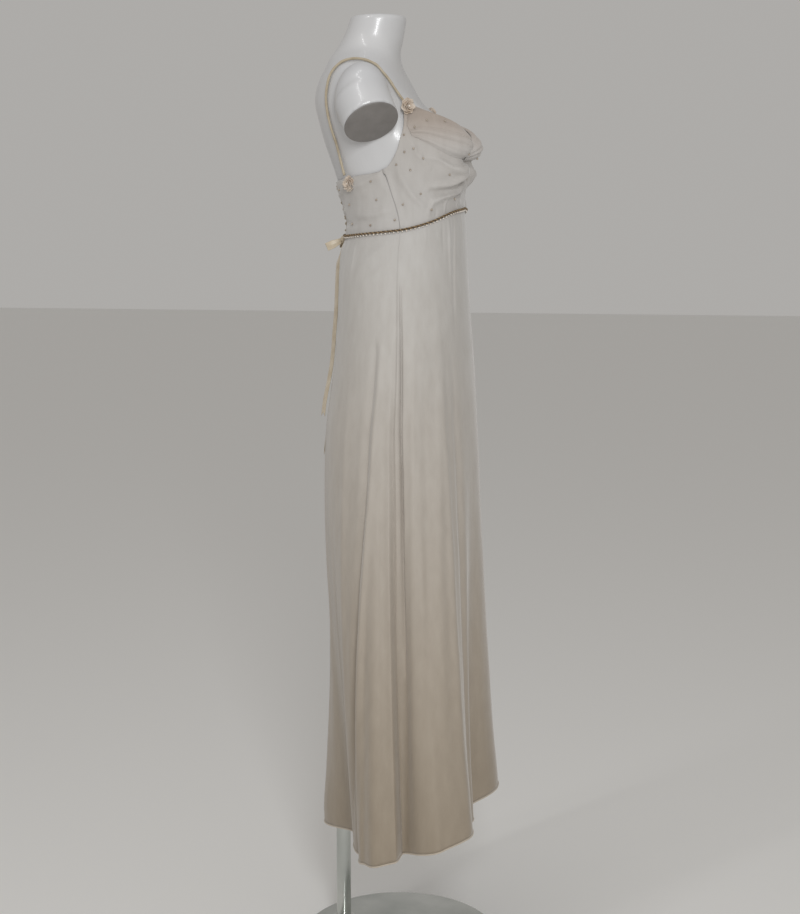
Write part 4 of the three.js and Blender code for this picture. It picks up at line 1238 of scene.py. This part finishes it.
# The right shoulder's ball and the plate's inner face with its outward direction; the left side
# mirrors them.
SHOULDER = np.array([-147, 40, 1596])
SHOULDER_RADII = np.array([50, 48, 66])
ARM_RADIUS = 49
PLATE = np.array([-180, 18.5, 1559])
PLATE_FACING = np.array([-0.5, -0.405, -0.765])
PLATE_FACING /= np.linalg.norm(PLATE_FACING)
PLATE_THICKNESS, PLATE_GAP = 3, 0.3
# Last rings of the neck, which round its rim off: share of the crown's reach, and height.
NECK_RIM = ((0.985, NECK_TOP - 2), (0.95, NECK_TOP - 0.6), (0.9, NECK_TOP))
FORM_SIDES = 120
VOXEL = 4.0                    # of the remesh that makes torso and arms one skin


def torso_part():
    """Closed solid of the torso up to the neck's flat cap."""
    heights = np.concatenate([np.linspace(FORM_BOTTOM, 1560, 60),
                              np.linspace(1566, NECK_TOP - 4, 60)])
    angle = np.linspace(0, 360, FORM_SIDES, endpoint=False)
    rings = body_point(FORM, angle[None, :], heights[:, None])
    crown = rings[-1] * (1, 1, 0)
    centre = (crown[0] + crown[FORM_SIDES // 2]) / 2
    for share, z in NECK_RIM:
        rings = np.concatenate([rings, (centre + (crown - centre) * share + (0, 0, z))[None]])
    faces = grid_faces(len(rings), FORM_SIDES, closed=True)
    faces.append(tuple(range(FORM_SIDES)))
    faces.append(tuple(reversed(range((len(rings) - 1) * FORM_SIDES, len(rings) * FORM_SIDES))))
    return rings.reshape(-1, 3), faces


def arm_part(sign):
    """Rounded shoulder and short upper arm, cut at the plate's plane."""
    side = np.array([sign, 1, 1])
    length = np.linalg.norm(SHOULDER - PLATE)
    points, faces = tube_mesh(np.array([(0, 0, -length), (0, 0, -length / 2), (0, 0, 0)]),
                              ARM_RADIUS, 64)
    arm = (points @ facing(PLATE_FACING * side) + PLATE * side, faces)
    points, faces = ball_mesh(SHOULDER * side, SHOULDER_RADII, 40, 64)
    cut = bmesh.new()
    corners = [cut.verts.new(tuple(p)) for p in points]
    for face in faces:
        cut.faces.new([corners[i] for i in face])
    halves = bmesh.ops.bisect_plane(
        cut, geom=cut.verts[:] + cut.edges[:] + cut.faces[:], plane_co=tuple(PLATE * side),
        plane_no=tuple(PLATE_FACING * side), clear_outer=True)
    rim = [e for e in halves["geom_cut"] if isinstance(e, bmesh.types.BMEdge)]
    bmesh.ops.edgeloop_fill(cut, edges=rim)
    cut.verts.index_update()
    dome = ([tuple(v.co) for v in cut.verts], [tuple(v.index for v in f.verts) for f in cut.faces])
    cut.free()
    return joined([dome, arm])


# The arm plate from its inner face outwards, with a rounded rim: radius and height.
PLATE_PROFILE = [(0, 0), (ARM_RADIUS - 2.2, 0), (ARM_RADIUS - 1.2, 0.3), (ARM_RADIUS - 1, 1.2),
                 (ARM_RADIUS - 1, 2), (ARM_RADIUS - 1.3, 2.7), (ARM_RADIUS - 2.4, PLATE_THICKNESS),
                 (0, PLATE_THICKNESS)]


def make_form():
    torso = piece("form_shell", *joined([torso_part(), arm_part(1), arm_part(-1)]), gloss,
                  "form_gloss")
    remesh = torso.modifiers.new("one_skin", "REMESH")
    remesh.mode = "VOXEL"
    remesh.voxel_size = VOXEL * MM
    remesh.use_smooth_shade = True
    smooth = torso.modifiers.new("even", "SMOOTH")
    smooth.factor = 0.5
    smooth.iterations = 8
    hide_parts("form_torso")
    for name, sign in (("right", 1), ("left", -1)):
        side = np.array([sign, 1, 1])
        points, faces = lathe_mesh(PLATE_PROFILE, 96)
        points = (points + (0, 0, PLATE_GAP)) @ facing(PLATE_FACING * side) + PLATE * side
        plate = piece(f"plate_{name}", points, faces, plate_grey, "arm_plate")
        crisp_edges(plate, 40)
        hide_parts(f"arm_plate_{name}")


def lathe_mesh(profile, sides):
    """Points and faces of a closed profile of (radius, height) turned about Z."""
    profile = np.asarray(profile, float)
    turn = np.linspace(0, 2 * np.pi, sides, endpoint=False)
    points = np.stack([profile[:, :1] * np.cos(turn), profile[:, :1] * np.sin(turn),
                       np.repeat(profile[:, 1:], sides, 1)], -1).reshape(-1, 3)
    return points, round_faces(len(profile), sides)


def crisp_edges(made, angle):
    """Keeps a turned piece's edges crisp above so many degrees, and its rounds smooth."""
    mesh = made.data
    work = bmesh.new()
    work.from_mesh(mesh)
    bmesh.ops.remove_doubles(work, verts=work.verts, dist=1e-6)
    for edge in work.edges:
        edge.smooth = edge.calc_face_angle(0) < math.radians(angle)
    work.to_mesh(mesh)
    work.free()


# ---- stand

POLE_RADIUS, POLE_Y = 14, 112
BASE_RADIUS, BASE_HEIGHT, BASE_ROUND = 190, 9, 4
SOCKET_RADIUS, SOCKET_HEIGHT, SOCKET_BORE, SOCKET_ROOF = 16.5, 34, 14.3, 4
SOCKET_ROUND = 0.8
COLLAR_RADIUS, COLLAR_HEIGHT, COLLAR_SHOULDER = 25, 26, 6
SEAM_GAP = 0.3                 # between the parts of the stand


def rounded(radius, height, size):
    """Profile points of a rounded upper edge."""
    return [(radius - size * (1 - math.cos(a)), height - size * (1 - math.sin(a)))
            for a in np.radians(np.linspace(0, 90, 7))]


def turned_piece(name, profile, z, y, sides, replaced):
    points, faces = lathe_mesh(profile, sides)
    made = piece(name, points + (0, y, z), faces, steel, "steel")
    crisp_edges(made, 32)
    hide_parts(replaced)


def make_stand():
    foot = BASE_HEIGHT + SEAM_GAP
    socket_foot = FORM_BOTTOM - SEAM_GAP - SOCKET_HEIGHT
    pole_length = FORM_BOTTOM - 2 * SEAM_GAP - SOCKET_ROOF - foot
    turned_piece("socket_cup", [
        (SOCKET_BORE, SOCKET_ROUND), (SOCKET_BORE + SOCKET_ROUND, 0),
        (SOCKET_RADIUS - SOCKET_ROUND, 0), (SOCKET_RADIUS, SOCKET_ROUND),
        (SOCKET_RADIUS, SOCKET_HEIGHT), (0, SOCKET_HEIGHT), (0, SOCKET_HEIGHT - SOCKET_ROOF),
        (SOCKET_BORE, SOCKET_HEIGHT - SOCKET_ROOF), (SOCKET_BORE, SOCKET_ROUND),
    ], socket_foot, POLE_Y, 64, "pole_socket")
    turned_piece("pole_tube", [(0, 0), (POLE_RADIUS, 0), (POLE_RADIUS, pole_length),
                               (0, pole_length)], foot, POLE_Y, 64, "pole")
    turned_piece("collar_ring", [
        (SOCKET_BORE, 0), (COLLAR_RADIUS, 0),
        *rounded(COLLAR_RADIUS, COLLAR_HEIGHT, COLLAR_SHOULDER),
        (SOCKET_BORE, COLLAR_HEIGHT), (SOCKET_BORE, 0),
    ], foot, POLE_Y, 64, "foot_collar")
    turned_piece("base_plate", [
        (0, 0), (BASE_RADIUS - 1, 0), (BASE_RADIUS, 1.5),
        *rounded(BASE_RADIUS, BASE_HEIGHT, BASE_ROUND), (0, BASE_HEIGHT),
    ], 0, 0, 160, "base")


# ---- light and floor

FLOOR_SIZE = 40
WORLD_COLOUR, WORLD_STRENGTH = (1, 0.975, 0.94, 1), 0.42
# Area lights: place, target and size in metres, watts, tint. The key stands near the camera, so
# both outlines of the dress turn away from it; the strip draws a streak down the form's shoulder.
LIGHTS = {
    "key": ((-3.2, -0.9, 2.3), (0, 0, 1.25), (0.6, 1.4), 52, (0.97, 0.99, 1)),
    "strip": ((-1.2, 0.87, 3.87), (-0.2, 0.04, 1.62), (0.05, 2.4), 11, (1, 1, 1)),
}


def add_light(name, place, target, size, watts, tint):
    data = bpy.data.lights.new(name, "AREA")
    data.shape = "RECTANGLE"
    data.size, data.size_y = size
    data.energy = watts
    data.color = tint
    light = bpy.data.objects.new(name, data)
    bpy.context.scene.collection.objects.link(light)
    light.location = place
    aim = Vector(target) - Vector(place)
    light.rotation_euler = aim.to_track_quat("-Z", "Y").to_euler()


def make_studio():
    bpy.ops.mesh.primitive_plane_add(size=FLOOR_SIZE, location=(0, 0, 0))
    floor = bpy.context.object
    floor.name = "floor"
    floor.data.materials.append(new_material("floor", (238, 237, 235), 0.9))
    world = bpy.data.worlds.new("studio")
    world.use_nodes = True
    background = world.node_tree.nodes["Background"]
    background.inputs["Color"].default_value = WORLD_COLOUR
    background.inputs["Strength"].default_value = WORLD_STRENGTH
    scene = bpy.context.scene
    scene.world = world
    for name, settings in LIGHTS.items():
        add_light(name, *settings)
    scene.view_settings.view_transform = "Standard"
    scene.view_settings.look = "None"


# ---- build

skirt = make_skirt()
bodice = make_bodice()
drapes = make_drapes(landing_tree([bodice["bodice_front"][1]]))
tree = landing_tree([grid for _, grid in (*bodice.values(), *drapes.values())])
make_pearls(tree)
make_braid()
make_straps()
make_flowers()
make_closing()
make_knot()
for side in BOW_LOOPS:
    make_loop(side)
tails = {side: make_tail(side) for side in BOW_TAILS}
make_form()
make_stand()
make_camera()
make_studio()
